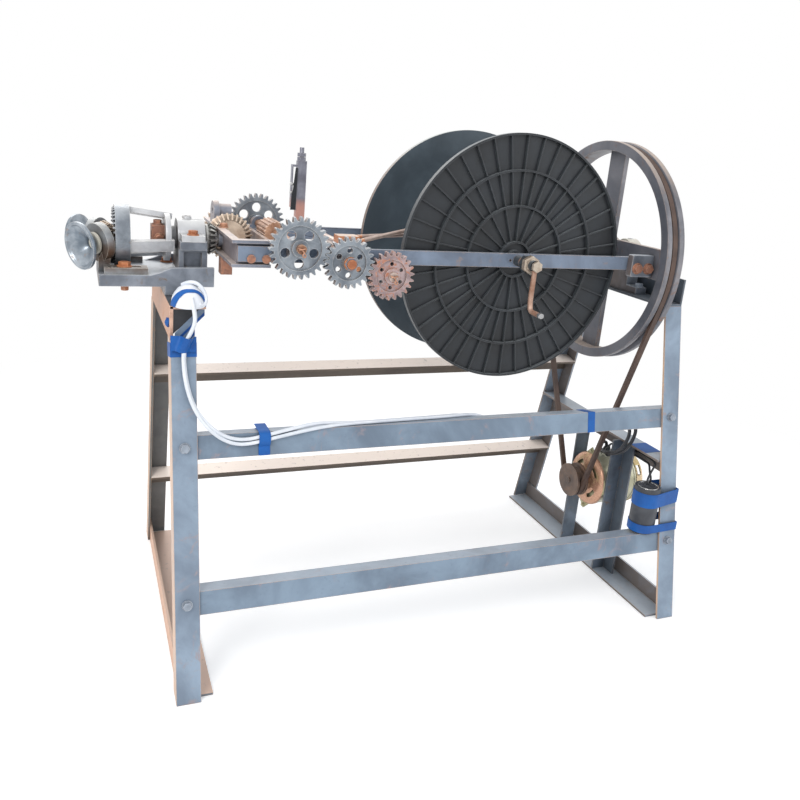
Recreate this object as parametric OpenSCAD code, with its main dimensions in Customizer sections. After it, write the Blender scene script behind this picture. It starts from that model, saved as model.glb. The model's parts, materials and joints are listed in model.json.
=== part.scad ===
// Rope making machine: angle-iron stand, twin horn head, rotating flyer with
// reel, traverse gear train and belt drive. Millimetres, +Z up, floor at z = 0,
// X along the main axis from the horns (-X) to the belt wheel (+X), -Y is the front.

/* [Stand] */
// Length of the stand over its side frames
stand_length = 1150; // [1100:5:1200]
// Depth of the stand over its feet
stand_depth = 676; // [660:2:700]
// Flange width of the angle iron of legs and rails
angle_w = 45; // [40:1:48]
// Thickness of the angle iron
angle_t = 5; // [4:0.5:6]
// Lean of the legs from the vertical, degrees
leg_lean = 12.4; // [11.6:0.2:13]
// Height of the lower rails' ridge
lower_rail_z = 204; // [180:2:230]
// Height of the upper rails' ridge
upper_rail_z = 490; // [460:2:520]
// Height of the side rail that carries the motor uprights
side_rail_z = 370; // [362:2:380]
// Height of the left cross-beam's top face
beam_z = 722; // [716:1:726]
// Flange width of the cross-beams
beam_w = 62; // [58:1:64]

/* [Head] */
// Height of the main axis above the floor
axis_z = 820; // [816:1:826]
// Teeth of the crown gear
crown_teeth = 38; // [36:1:40]
// Teeth of each horn pinion
pinion_teeth = 20; // [18:1:20]
// Pitch radius of the crown gear
crown_r = 54; // [52:0.5:56]
// Splay of each horn from the main axis in plan, degrees
horn_splay = 33; // [31:0.5:35]
// Downward slope of the horns, degrees
horn_drop = 8.5; // [6:0.5:10]
// Outer radius of the horn mouths
horn_mouth_r = 44; // [40:0.5:46]
// Distance of the horn mouths from the crossing point of the axes
horn_reach = 110; // [104:1:120]
// Radius of the pedestal cap
cap_r = 38; // [34:1:40]

/* [Flyer] */
// Half width of the flyer over its bars
flyer_half = 168; // [164:1:172]
// Height of the flat bars
bar_h = 29; // [26:1:32]
// Thickness of the flat bars
bar_t = 10; // [8:0.5:11]
// Module of the spur gears
gear_module = 4; // [3.8:0.1:4]
// Face width of the spur gears
gear_w = 14; // [10:1:14]

/* [Reel] */
// Radius of the reel flanges
reel_r = 257; // [240:1:258]
// Radius of the reel core
core_r = 70; // [50:1:90]
// Radial ribs on each flange
rib_count = 40; // [30:2:44]

/* [Drive] */
// Radius of the belt wheel
wheel_r = 258; // [250:1:262]
// Width of the belt wheel's rim
wheel_w = 45; // [40:1:46]
// Radius of the motor pulley's flanges
pulley_r = 42; // [40:1:48]
// Radius of the motor covers
motor_r = 70; // [66:1:70]
// Radius of the capacitor
capacitor_r = 30; // [27:1:31]

/* [Hidden] */
$fn = 96;

// --- stand layout, measured from the middle of the stand ---
half_length = stand_length / 2;
half_depth = stand_depth / 2;
left_leg_top = beam_z - beam_w;
right_leg_top = beam_z;
// distance from the middle plane of a leg's outer face at height z
function leg_y(z) = half_depth - z * tan(leg_lean);
// length along the leaning leg to height z for a point depth d behind its face
function leg_s(z, d = 0) = (z + d * sin(leg_lean)) / cos(leg_lean);
beam_half = leg_y(beam_z);

// --- head layout ---
crown_back_x = -633;
apex_x = -632;
crown_od = 118;
horn_cos = cos(horn_splay) * cos(horn_drop);
horn_shaft_angle = acos(-horn_cos);
tooth_ratio = crown_teeth / pinion_teeth;
pinion_delta = atan(sin(horn_shaft_angle) / (tooth_ratio + cos(horn_shaft_angle)));
crown_delta = horn_shaft_angle - pinion_delta;
crown_cone = crown_r / sin(crown_delta);
crown_face = 15;
// direction of the horns' meshing points round the main axis, below the level
mesh_below = atan(cos(horn_splay) * sin(horn_drop) / sin(horn_splay));
horn_tip_x = apex_x - horn_reach * horn_cos - horn_mouth_r * sqrt(1 - horn_cos * horn_cos);
base_z = beam_z + 16;
base_top = axis_z - crown_od / 2 - 1.2;
base_left = -691;
base_right = -483;
base_half = 88;
rib_t = 10;
rib_h = 16;
pedestal_x = -545;
pedestal_l = 52;
hollow_r = 14;
hollow_bore = 8;
run_gap = 0.05;

// --- flyer layout ---
bar_z = axis_z - 3;
bar_in = flyer_half - bar_t;
bevel_x = -436;
fixed_teeth = 18;
bevel_teeth = 28;
bevel_pitch_r = 47;
bevel_delta = atan(bevel_teeth / fixed_teeth);
fixed_delta = 90 - bevel_delta;
bevel_cone = bevel_pitch_r / sin(bevel_delta);
bevel_face = 15;
channel_h = 50;
channel_left = -466;
channel_right = -393;
channel_t = 6;

// --- gear train ---
spur_pinion_teeth = 15;
rear_teeth = 30;
front_teeth = 27;
idler_teeth = 23;
screw_teeth = 22;
function pitch_r(teeth) = teeth * gear_module / 2;
cross_z = axis_z + 14;
idler_z = axis_z - 11;
screw_z = axis_z - 34;
cross_x = bevel_x + across(pitch_r(spur_pinion_teeth + rear_teeth), cross_z - axis_z);
idler_x = cross_x + across(pitch_r(front_teeth + idler_teeth), idler_z - cross_z);
screw_x = idler_x + across(pitch_r(idler_teeth + screw_teeth), screw_z - idler_z);
// horizontal distance of two gear centres from their centre distance and height difference
function across(centres, dz) = sqrt(centres * centres - dz * dz);
front_gear_y = -flyer_half - 32;
rear_gear_y = flyer_half + 18;
shaft_r = 9;
screw_r = 15;
screw_core_r = 12;
screw_l = 2 * flyer_half - 2 * bar_t - 2;
thread_turns = 24;
lug_r = 17;
lug_out = 10;
rod_x = -208;
rod_r = 8;

// --- reel ---
reel_x = 131;
reel_front_y = -bar_in + 3;
reel_rear_y = bar_in - 58;
crank_y = -flyer_half - 67;
crank_drop = 92;
flange_w = 12;
reel_shaft_r = 11;

// --- belt drive ---
wheel_x = 462;
arm_x = 468;
arm_t = 12;
rim_t = 22;
hub_r = 38;
belt_w = 12;
belt_t = 8;
groove_r = wheel_r - 11;
wheel_shaft_r = 15;
bearing_x = 527;
bearing_l = 32;
motor_y = -34;
motor_z = 229;
motor_face_x = 497;
motor_l = 140;
motor_tail = 5;
motor_shaft_r = 7;
pulley_groove_r = pulley_r - 9;
pulley_w = 32;
base_w = 64;
upright_w = 40;
upright_t = 4;
upright_gap = motor_r + 2;
upright_x = half_length - angle_t - base_w + upright_w;
capacitor_x = 495;
capacitor_y = 71 - half_depth;
capacitor_h = 116;
capacitor_top = lower_rail_z - 0.2 + capacitor_h;
terminal_top = motor_z + 73;

// the model's origin is the middle of its outline, on the floor
motor_right = motor_face_x + motor_l + motor_tail;
origin_x = -(horn_tip_x + motor_right) / 2;

// --- shared shapes ---
module placed() translate([origin_x, 0, 0]) children();
module along_x(x, y, z) translate([x, y, z]) rotate([0, 90, 0]) children();
module along_y(x, y, z) translate([x, y, z]) rotate([-90, 0, 0]) children();
module side(s) mirror([0, s > 0 ? 1 : 0, 0]) children();
module angle_profile(w, t, up = 0) {
    h = up > 0 ? up : w;
    polygon([[0, 0], [w, 0], [w, t], [t, t], [t, h], [0, h]]);
}
module box(low, high) translate(low) cube(high - low);

// frame of a leaning side: x along the machine, y into the stand, z up the leg
module leaning(s) side(s) translate([0, -half_depth, 0]) rotate([-leg_lean, 0, 0]) children();

module leg(sx, sy, top) {
    difference() {
        leaning(sy) translate([sx * half_length, 0, -40]) mirror([sx > 0 ? 1 : 0, 0, 0])
            linear_extrude(leg_s(top) + 80) angle_profile(angle_w, angle_t);
        box([-900, -900, -100], [900, 900, 0]);
        box([-900, -900, top], [900, 900, top + 200]);
    }
}

// rail along X: one flange lies on the legs, the other points into the stand
module long_rail(sy, z) {
    leaning(sy) translate([-half_length + angle_t, angle_t, leg_s(z, angle_t)]) rotate([0, 90, 0])
        linear_extrude(stand_length - 2 * angle_t) angle_profile(angle_w, angle_t);
}

module base_rail(sx) {
    half = leg_y(angle_w) - angle_t / cos(leg_lean);
    mirror([sx > 0 ? 1 : 0, 0, 0]) translate([-half_length + angle_t, half, 0]) rotate([90, 0, 0])
        linear_extrude(2 * half) angle_profile(base_w, angle_t, angle_w);
}

module upright(s) {
    y = motor_y + s * upright_gap;
    translate([upright_x, y, angle_t]) mirror([0, s < 0 ? 1 : 0, 0]) mirror([1, 0, 0])
        linear_extrude(side_rail_z - 2 * angle_t) angle_profile(upright_w, upright_t);
}

// spur gear on +Z from z = 0, with a thinner web, round holes and a hub
module spur_outline(teeth) {
    m = gear_module;
    r = pitch_r(teeth);
    step = 360 / teeth;
    polygon([for (i = [0:teeth - 1]) for (p = [[r - 1.2 * m, -0.34], [r, -0.21], [r + 0.9 * m, -0.1],
        [r + 0.9 * m, 0.1], [r, 0.21], [r - 1.2 * m, 0.34]])
        [p[0] * cos((i + p[1]) * step), p[0] * sin((i + p[1]) * step)]]);
}

module spur_gear(teeth, phase, holes, hole_r, hub, bore, hub_l = 4) {
    r = pitch_r(teeth);
    rim = r - 3.2 * gear_module;
    difference() {
        union() {
            rotate(phase) linear_extrude(gear_w) spur_outline(teeth);
            translate([0, 0, -hub_l]) cylinder(r = hub, h = gear_w + 2 * hub_l);
        }
        for (z = [-1, gear_w - 3]) translate([0, 0, z]) difference() {
            cylinder(r = rim, h = 4);
            translate([0, 0, -1]) cylinder(r = hub, h = 6);
        }
        for (i = [1:holes]) rotate(i * 360 / holes + 90) translate([(rim + hub) / 2, 0, -1])
            cylinder(r = hole_r, h = gear_w + 2);
        translate([0, 0, -hub_l - 1]) cylinder(r = bore, h = gear_w + 2 * hub_l + 2);
    }
}

// teeth of a bevel gear whose pitch cone has its tip at the origin and its axis on +Z
module bevel_teeth(teeth, delta, cone, face, up, down) {
    k = 0.36 * PI * sin(delta) / teeth;
    for (i = [0:teeth - 1]) rotate(i * 360 / teeth) rotate([0, delta - 90, 0]) translate([0, 0, -up])
        linear_extrude(up + down) polygon([[cone - face, -k * (cone - face)], [cone, -k * cone],
            [cone, k * cone], [cone - face, k * (cone - face)]]);
}

// point of the root cone at distance s from its tip, as radius and height
function root_point(delta, s, down) =
    [s * sin(delta) - down * cos(delta), s * cos(delta) + down * sin(delta)];

module hex(r, h) cylinder(r = r, h = h, $fn = 6);

// --- legs, rails and beams ---
module left_front_leg() color("slategray") leg(-1, -1, left_leg_top);
module left_rear_leg() color("slategray") leg(-1, 1, left_leg_top);
module right_front_leg() color("slategray") leg(1, -1, right_leg_top);
module right_rear_leg() color("slategray") leg(1, 1, right_leg_top);
module left_base_rail() color("slategray") base_rail(-1);
module right_base_rail() color("slategray") base_rail(1);
module front_lower_rail() color("lightslategray") long_rail(-1, lower_rail_z);
module front_upper_rail() color("lightslategray") long_rail(-1, upper_rail_z);
module rear_lower_rail() color("lightslategray") long_rail(1, lower_rail_z);
module rear_upper_rail() color("lightslategray") long_rail(1, upper_rail_z);

module left_cross_beam() color("dimgray") {
    box([-half_length, -beam_half, beam_z - angle_t], [-half_length + beam_w, beam_half, beam_z]);
    box([-half_length, -beam_half, beam_z - beam_w], [-half_length + angle_t, beam_half, beam_z]);
}

module right_cross_beam() color("dimgray") {
    box([half_length - beam_w, -beam_half, beam_z], [half_length, beam_half, beam_z + angle_t]);
    box([half_length - angle_t, -beam_half, beam_z], [half_length, beam_half, beam_z + beam_w]);
}

module side_rail() color("slategray") {
    half = leg_y(side_rail_z) - angle_t / cos(leg_lean);
    translate([half_length - angle_t, half, side_rail_z]) rotate([90, 0, 0]) mirror([1, 1, 0])
        linear_extrude(2 * half) angle_profile(angle_w, angle_t);
}

module motor_uprights() color("dimgray") {
    upright(-1);
    upright(1);
}

// hexagon bolt head with a washer, standing on z = 0
module bolt(r = 10) {
    cylinder(r = r * 1.25, h = 2);
    translate([0, 0, 2]) hex(r, 7);
}

module stand_bolts() color("lightslategray") {
    for (sy = [-1, 1], x = [-1, 1], z = [lower_rail_z, upper_rail_z])
        leaning(sy) translate([x * (half_length - 22), 0, leg_s(z) - 20]) rotate([90, 0, 0]) bolt(8);
    for (sy = [-1, 1]) {
        along_x(half_length, sy * (leg_y(side_rail_z) - 28), side_rail_z - 20) bolt(8);
        translate([bearing_x + bearing_l / 2, sy * 60, beam_z + angle_t + 16]) bolt();
    }
}

// --- head ---
// sloped rib along each side of the base, right of the horn bracket's feet
module base_rib() translate([0, rib_t - base_half, 0]) rotate([90, 0, 0]) linear_extrude(rib_t)
    polygon([[-605, base_top - 2], [base_right, base_top - 2], [base_right, base_top + rib_h],
        [-562, base_top + rib_h - 2], [-582, base_top + 5]]);

module head_base() color("gray") {
    px = pedestal_x;
    difference() {
        union() {
            box([base_left, -base_half, base_z], [base_right, base_half, base_top]);
            box([-half_length, -base_half, beam_z], [-half_length + beam_w, base_half, base_z]);
            box([px, -45, base_top], [px + pedestal_l + 3, 45, axis_z]);
            for (s = [-1, 1]) side(s) base_rib();
            box([px, -64, axis_z - 16], [px + pedestal_l, 64, axis_z]);
        }
        along_x(px - 1, 0, axis_z) cylinder(r = hollow_r + run_gap, h = pedestal_l + 10);
        for (s = [-1, 1]) side(s) box([px + 10, -46, base_top + 8], [px + pedestal_l - 8, -37, axis_z - 22]);
    }
}

module pedestal_cap() color("silver") {
    px = pedestal_x;
    difference() {
        union() {
            along_x(px, 0, axis_z) cylinder(r = cap_r, h = pedestal_l);
            box([px + 4, -64, axis_z], [px + pedestal_l - 4, 64, axis_z + 12]);
            translate([px + pedestal_l / 2 - 6, 0, axis_z + cap_r - 4]) cylinder(r = 9, h = 8);
        }
        box([px - 10, -100, axis_z - 100], [px + pedestal_l + 10, 100, axis_z]);
        along_x(px - 1, 0, axis_z) cylinder(r = hollow_r + run_gap, h = pedestal_l + 10);
        translate([px + pedestal_l / 2 - 6, 0, axis_z]) cylinder(r = 3, h = cap_r + 20);
    }
}

// frame of a horn: its axis on +Z with the crossing point at the origin
module at_horn(s) translate([apex_x, 0, axis_z]) rotate([0, -horn_drop, 0])
    rotate([0, 0, s * -horn_splay]) rotate([0, -90, 0]) children();

bearing_in = 59;
bearing_out = 74;
horn_shaft_r = 13;
throat_r = 9;
housing_r = 36;

module head_bolts() color("chocolate") {
    for (s = [-1, 1]) {
        translate([pedestal_x + pedestal_l / 2, s * 52, axis_z + 12]) bolt(9);
        translate([-645, s * 67, base_top + 12]) bolt(11);
        translate([-556, s * (base_half - rib_t - 14), base_top]) bolt(10);
    }
}

module horn_bracket() color("gray") difference() {
    union() {
        for (s = [-1, 1]) at_horn(s) translate([0, 0, bearing_in])
            cylinder(r = housing_r, h = bearing_out - bearing_in);
        box([-690, -52, base_top], [-669, 52, axis_z - 20]);
        for (s = [-1, 1]) side(s) difference() {
            box([-681, -84, base_top], [-604, -50, base_top + 12]);
            for (x = [-664, -626]) box([x - 11, -72, base_top - 1], [x + 11, -62, base_top + 13]);
        }
    }
    for (s = [-1, 1]) at_horn(s) {
        translate([0, 0, -20]) cylinder(r = horn_shaft_r + run_gap, h = bearing_out + 120);
        translate([0, 0, -20]) cylinder(r = 40, h = bearing_in + 20 - 0.01);
        translate([0, 0, bearing_out]) cylinder(r1 = 21, r2 = 60, h = 40);
    }
}

// flared wall between two radii and two heights, as a list of points
function flare(r0, r1, z0, z1) = [for (i = [0:8]) [r0 + (r1 - r0) * pow(i / 8, 1.8), z0 + (z1 - z0) * i / 8]];
function backward(p) = [for (i = [len(p) - 1:-1:0]) p[i]];

module horn(s) at_horn(s) {
    collar = bearing_out + 0.3;
    neck = bearing_out + 8;
    rotate_extrude() polygon(concat(
        [[throat_r, 40], [horn_shaft_r, 40], [horn_shaft_r, collar], [19, collar], [19, neck]],
        flare(15.5, horn_mouth_r, neck, horn_reach - 6),
        [[horn_mouth_r, horn_reach], [horn_mouth_r - 5, horn_reach]],
        backward(flare(throat_r, horn_mouth_r - 8, neck - 2, horn_reach - 5))));
}

module horn_pinion(s) {
    up = 2.6;
    down = 3;
    po = root_point(pinion_delta, crown_cone, down);
    pi = root_point(pinion_delta, crown_cone - crown_face, down);
    at_horn(s) {
        rotate(horn_phase(s)) bevel_teeth(pinion_teeth, pinion_delta, crown_cone, crown_face, up, down + 0.5);
        rotate_extrude() polygon([[horn_shaft_r, pi[1]], pi, po, [po[0], bearing_in - 0.4],
            [horn_shaft_r, bearing_in - 0.4]]);
    }
}

module fixed_bevel_gear() color("silver") {
    up = 2.8;
    down = 3.4;
    po = root_point(fixed_delta, bevel_cone + 1.5, down);
    pi = root_point(fixed_delta, bevel_cone - bevel_face - 1, down);
    back = bevel_x - (pedestal_x + pedestal_l + 3);
    translate([bevel_x, 0, axis_z]) rotate([0, -90, 0]) rotate([0, 0, 90]) {
        bevel_teeth(fixed_teeth, fixed_delta, bevel_cone, bevel_face, up, down + 1);
        rotate_extrude() polygon([[hollow_r + 0.3, pi[1]], pi, po, [po[0], back], [hollow_r + 0.3, back]]);
    }
}

module right_bearing() color("dimgray") difference() {
    union() {
        box([bearing_x, -70, beam_z + angle_t], [bearing_x + bearing_l, 70, beam_z + angle_t + 16]);
        box([bearing_x, -32, beam_z + angle_t], [bearing_x + bearing_l, 32, axis_z]);
    }
    along_x(bearing_x - 1, 0, axis_z) cylinder(r = wheel_shaft_r + run_gap, h = bearing_l + 2);
}

module right_bearing_cap() color("silver") difference() {
    union() {
        along_x(bearing_x, 0, axis_z) cylinder(r = 32, h = bearing_l);
        box([bearing_x, -50, axis_z], [bearing_x + bearing_l, 50, axis_z + 10]);
    }
    box([bearing_x - 5, -80, axis_z - 80], [bearing_x + bearing_l + 5, 80, axis_z]);
    along_x(bearing_x - 1, 0, axis_z) cylinder(r = wheel_shaft_r + run_gap, h = bearing_l + 2);
}

// --- motor, capacitor, tape and wiring ---
cover_l = 30;
hub_l = 8;
module at_motor(x) along_x(motor_face_x + x, motor_y, motor_z) children();
module motor_body() color("darkkhaki") difference() {
    union() {
        at_motor(cover_l) cylinder(r = motor_r - 4, h = motor_l - 2 * cover_l);
        // square flange plate standing on a corner, clipped where it meets the uprights
        intersection() {
            at_motor(cover_l) cylinder(r = motor_r + 15, h = 3, $fn = 4);
            at_motor(0) translate([-100, -upright_gap, 0]) cube([200, 2 * upright_gap, 60]);
        }
        for (s = [-1, 1]) translate([motor_face_x, motor_y, motor_z]) side(s)
            box([cover_l, -upright_gap, -12], [upright_x - upright_t - 1 - motor_face_x, -motor_r + 6, 12]);
        // terminal block that the leads enter from above
        box([motor_face_x + 46, motor_y - 16, motor_z + 56], [motor_face_x + 78, motor_y + 14, terminal_top]);
    }
    at_motor(0) cylinder(r = motor_shaft_r + 6, h = motor_l);
}

module motor_cover(x, out) difference() {
    union() {
        at_motor(x) cylinder(r = motor_r, h = cover_l);
        if (out < 0) at_motor(x - hub_l) cylinder(r = 18, h = hub_l);
        else at_motor(x + cover_l) cylinder(r = 18, h = motor_tail);
    }
    at_motor(x - 20) cylinder(r = motor_shaft_r + run_gap, h = out < 0 ? 80 : 40);
    for (i = [0:7]) at_motor(out < 0 ? x - 1 : x + cover_l - 9) rotate(i * 45)
        translate([32, -6, 0]) cube([26, 12, 10]);
}

module motor_covers() color("tan") {
    motor_cover(0, -1);
    motor_cover(motor_l - cover_l, 1);
}

module capacitor() color("darkslategray") translate([capacitor_x, capacitor_y, lower_rail_z - 0.2]) {
    cylinder(r = capacitor_r, h = capacitor_h - 6);
    cylinder(r = capacitor_r - 4, h = capacitor_h);
}

// closed band round the capacitor and the leg beside it
module leg_band(low, high) {
    grow = 0.2;
    thick = 1.2;
    translate([0, 0, low]) linear_extrude(high - low) difference() {
        band_outline(low, high, grow + thick);
        band_outline(low, high, grow);
    }
}
module band_outline(low, high, g) hull() {
    translate([capacitor_x, capacitor_y]) circle(r = capacitor_r + g, $fn = 32);
    translate([half_length - angle_w - g, -leg_y(low) - g])
        square([angle_w + 2 * g, leg_y(low) - leg_y(high) + angle_w / cos(leg_lean) + 2 * g]);
}

// flat tape wrapped on a long rail's outer face and top at distance x
module rail_tape(z, x, w) leaning(-1) translate([x, angle_t, leg_s(z, angle_t)]) {
    thick = 0.8;
    box([0, -thick, -angle_w], [w, 0, thick]);
    box([0, -thick, 0], [w, angle_w, thick]);
}

side_tape_y = -206;
module tape_bands() color("royalblue") {
    leg_band(lower_rail_z + 68, lower_rail_z + 102);
    leg_band(lower_rail_z + 4, lower_rail_z + 24);
    rail_tape(upper_rail_z, -414, 16);
    rail_tape(upper_rail_z, 326, 18);
    box([half_length - angle_t - angle_w, side_tape_y, side_rail_z],
        [half_length - angle_t, side_tape_y + 56, side_rail_z + 0.8]);
    leaning(-1) translate([-half_length, 0, leg_s(left_leg_top) - 28]) difference() {
        box([-1, -1, 0], [angle_w + 1, angle_w, 26]);
        box([0, 0, -1], [angle_w, angle_w + 1, 27]);
    }
}

switch_x = -543;
switch_r = 26;
module switch_body() color("white") {
    along_y(switch_x, -beam_half - 6, beam_z + switch_r) cylinder(r = switch_r, h = 56);
    translate([switch_x, -beam_half - 6, beam_z + switch_r]) sphere(r = switch_r);
}

// round cord of radius r swept along a list of points
function unit(v) = v / norm(v);
function path_dir(p, i) = unit(p[min(i + 1, len(p) - 1)] - p[max(i - 1, 0)]);
function side_dir(d) = unit(cross(d, abs(d[2]) > 0.8 ? [0, 1, 0] : [0, 0, 1]));
// points between the route's own points, on a smooth curve
function bend(a, b, c, d, t) = 0.5 * ((2 * b) + (c - a) * t + (2 * a - 5 * b + 4 * c - d) * t * t
    + (3 * b - a - 3 * c + d) * t * t * t);
function smooth(p, n) = concat([for (i = [0:len(p) - 2]) for (k = [0:n - 1])
    bend(p[max(i - 1, 0)], p[i], p[i + 1], p[min(i + 2, len(p) - 1)], k / n)], [p[len(p) - 1]]);
module cord(p, r, sides = 8) {
    rings = len(p);
    polyhedron(
        points = [for (i = [0:rings - 1]) let (d = path_dir(p, i), u = side_dir(d), v = cross(d, u))
            for (k = [0:sides - 1]) p[i] + r * (cos(k * 360 / sides) * u + sin(k * 360 / sides) * v)],
        faces = concat([[for (k = [sides - 1:-1:0]) k]],
            [for (i = [0:rings - 2]) for (k = [0:sides - 1]) [i * sides + k, i * sides + (k + 1) % sides,
                (i + 1) * sides + (k + 1) % sides, (i + 1) * sides + k]],
            [[for (k = [0:sides - 1]) (rings - 1) * sides + k]]));
}

lead_r = 3.5;
wire_r = 2.5;
// middle plane of the leads behind the front of the stand
front = -half_depth;
// routes of the two leads down the left leg, along the upper rail and in to the motor
front_lead = [[-546, front + 126, 742], [-547, front + 123, 705], [-555, front + 135, 650],
    [-553, front + 125, 602], [-541, front + 111, 555], [-520, front + 100, 517],
    [-488, front + 98, 486], [-450, front + 103, 470], [-405, front + 105, 476],
    [-347, front + 107.5, 486], [-295, front + 109, 494], [-240, front + 123, 492],
    [-100, front + 137, 489], [15, front + 146, 487], [70, front + 163, 482.5],
    [110, front + 157, 467], [160, front + 142, 468], [300, front + 136, 469],
    [430, front + 136, 466], [490, front + 140, 440], [497, front + 150, 400],
    [496, front + 176, 352], [492, -110, 332], [506, -76, 322], [534, -50, 322],
    [550, -43, 319], [550, -43, 311], [550, -43, terminal_top + 0.05]];
rear_lead = [[-537, front + 125, 742], [-538, front + 122, 705], [-546, front + 134, 650],
    [-544, front + 124, 602], [-532, front + 110, 555], [-515, front + 98, 524],
    [-484, front + 97, 495], [-448, front + 104.5, 478.5], [-405, front + 107, 484.5],
    [-349, front + 109.5, 495], [-302, front + 116, 501], [-240, front + 131, 490.5],
    [-100, front + 145, 487], [-10, front + 153, 485.5], [44, front + 171, 479],
    [80, front + 168, 463], [140, front + 152, 459], [200, front + 147, 461],
    [300, front + 144, 461], [430, front + 144, 458], [480, front + 148, 432],
    [487, front + 158, 394], [487, front + 186, 350], [484, -104, 335], [500, -66, 331],
    [530, -38, 331], [550, -31.5, 325], [550, -31.5, 314], [550, -31.5, terminal_top + 0.05]];
// routes of the capacitor's two wires, looped up to the side rail and along it to the motor
front_wire = [[487, front + 68, capacitor_top + 0.05], [487, front + 68, capacitor_top + 7],
    [487, front + 68, capacitor_top + 14], [502, front + 78, 346], [520, front + 88, 358],
    [534, front + 108, 356], [551, front + 150, 350], [556, front + 190, 346],
    [556, -108, 338], [558, -70, 334], [560.5, -38, 323], [561, -31.5, 316],
    [561, -31.5, 309], [561, -31.5, terminal_top + 0.05]];
rear_wire = [[503, front + 76, capacitor_top + 0.05], [503, front + 76, capacitor_top + 7],
    [503, front + 76, capacitor_top + 14], [509, front + 90, 340], [522, front + 108, 347],
    [540, front + 134, 342], [550, front + 170, 337], [552, front + 206, 334],
    [553, -104, 328], [560, -74, 320], [565, -48, 317], [566, -43.5, 313],
    [566, -43.5, 308], [566, -43.5, terminal_top + 0.05]];
module switch_leads() color("white") {
    for (route = [front_lead, rear_lead]) cord(smooth(route, 2), lead_r);
    for (route = [front_wire, rear_wire]) cord(smooth(route, 2), wire_r);
}

// --- belt drive ---
module belt_outline(ra, rb) {
    d = [motor_y, motor_z - axis_z];
    far = norm(d);
    a = atan2(d[1], d[0]);
    b = acos((ra - rb) / far);
    circle(r = ra);
    translate(d) circle(r = rb);
    polygon([for (s = [-1, 1]) ra * [cos(a + s * b), sin(a + s * b)],
        for (s = [1, -1]) d + rb * [cos(a + s * b), sin(a + s * b)]]);
}
module drive_belt() color("saddlebrown") translate([wheel_x - belt_w / 2, 0, axis_z]) rotate([90, 0, 90])
    linear_extrude(belt_w) difference() {
        belt_outline(groove_r + 0.4 + belt_t, pulley_groove_r + 0.4 + belt_t);
        belt_outline(groove_r + 0.4, pulley_groove_r + 0.4);
    }

module grooved_rim(r, w, inner, groove) rotate_extrude($fn = 128)
    polygon([[inner, -w / 2], [r, -w / 2], [r, -10], [groove, -belt_w / 2 - 1],
        [groove, belt_w / 2 + 1], [r, 10], [r, w / 2], [inner, w / 2]]);

module belt_wheel() color("dimgray") difference() {
    union() {
        along_x(wheel_x, 0, axis_z) grooved_rim(wheel_r, wheel_w, wheel_r - rim_t, groove_r);
        translate([arm_x, 0, axis_z]) for (a = [0:3]) rotate([a * 90, 0, 0]) {
            half = a % 2 == 0 ? 28 : 34;
            box([0, -half, 0], [arm_t, half, wheel_r - rim_t + 2]);
        }
        along_x(arm_x - 12, 0, axis_z) cylinder(r = hub_r, h = arm_t + 26);
    }
    along_x(arm_x - 20, 0, axis_z) cylinder(r = wheel_shaft_r, h = 60);
}
module wheel_shaft() color("silver") along_x(arm_x - 12, 0, axis_z)
    cylinder(r = wheel_shaft_r, h = half_length + 22 - arm_x);

module motor_pulley() color("dimgray") {
    along_x(wheel_x, motor_y, motor_z) grooved_rim(pulley_r, pulley_w, motor_shaft_r, pulley_groove_r);
    along_x(wheel_x + pulley_w / 2, motor_y, motor_z) difference() {
        cylinder(r = 22, h = 9);
        translate([0, 0, -1]) cylinder(r = motor_shaft_r, h = 20);
    }
    along_x(wheel_x - 18, motor_y, motor_z)
        cylinder(r = motor_shaft_r, h = motor_face_x + motor_l + 3 - wheel_x);
}

// --- flyer: left end ---
module hollow_shaft() color("silver") difference() {
    along_x(-590, 0, axis_z) cylinder(r = hollow_r, h = 590 - 440);
    along_x(-600, 0, axis_z) cylinder(r = hollow_bore, h = 200);
}

module crown_gear() color("slategray") {
    up = 2.6;
    down = 3;
    po = root_point(crown_delta, crown_cone, down);
    pi = root_point(crown_delta, crown_cone - crown_face, down);
    back = crown_back_x - apex_x;
    translate([apex_x, 0, axis_z]) rotate([0, 90, 0]) rotate(90) {
        rotate(crown_phase) bevel_teeth(crown_teeth, crown_delta, crown_cone, crown_face, up, down + 0.5);
        rotate_extrude() polygon([pi, po, [crown_od / 2, po[1] - 1], [crown_od / 2, back], [pi[0], back]]);
    }
}

bar_angles = [75, 195, 315];
module yoke_cage() color("gray") {
    left = crown_back_x;
    right = -560;
    difference() {
        union() {
            for (a = bar_angles) translate([left, 0, axis_z]) rotate([a, 0, 0]) rotate([0, 0, -7])
                box([-16, 44, -11], [right - left + 2, 54, 11]);
            along_x(right - 8, 0, axis_z) cylinder(r = 46, h = 10);
            along_x(right - 8, 0, axis_z) cylinder(r = 22, h = 22);
        }
        along_x(left - 20, 0, axis_z) cylinder(r = 100, h = 20);
        along_x(left - 20, 0, axis_z) cylinder(r = hollow_r, h = 120);
    }
}

// clamp block on the hollow shaft inside the cage, bracket screws and end block bolts
module flyer_bolts() color("sienna") {
    difference() {
        box([-592, -17, axis_z - 17], [-568, 17, axis_z + 24]);
        along_x(-600, 0, axis_z) cylinder(r = hollow_r, h = 50);
    }
    translate([-580, 0, axis_z + 24]) bolt(8);
    // stop block under the front bracket
    box([channel_left, -60, bar_z - channel_h / 2 - 34], [channel_left + 22, -32, bar_z - channel_h / 2]);
    for (x = [-430, -402]) along_y(x, -flyer_half, bar_z - 9) mirror([0, 0, 1]) cylinder(r = 8, h = 3);
    for (s = [-1, 1]) side(s) {
        for (x = [424, 453]) along_y(x, -flyer_half - 18, bar_z - 8) mirror([0, 0, 1]) bolt(10);
    }
}

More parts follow.
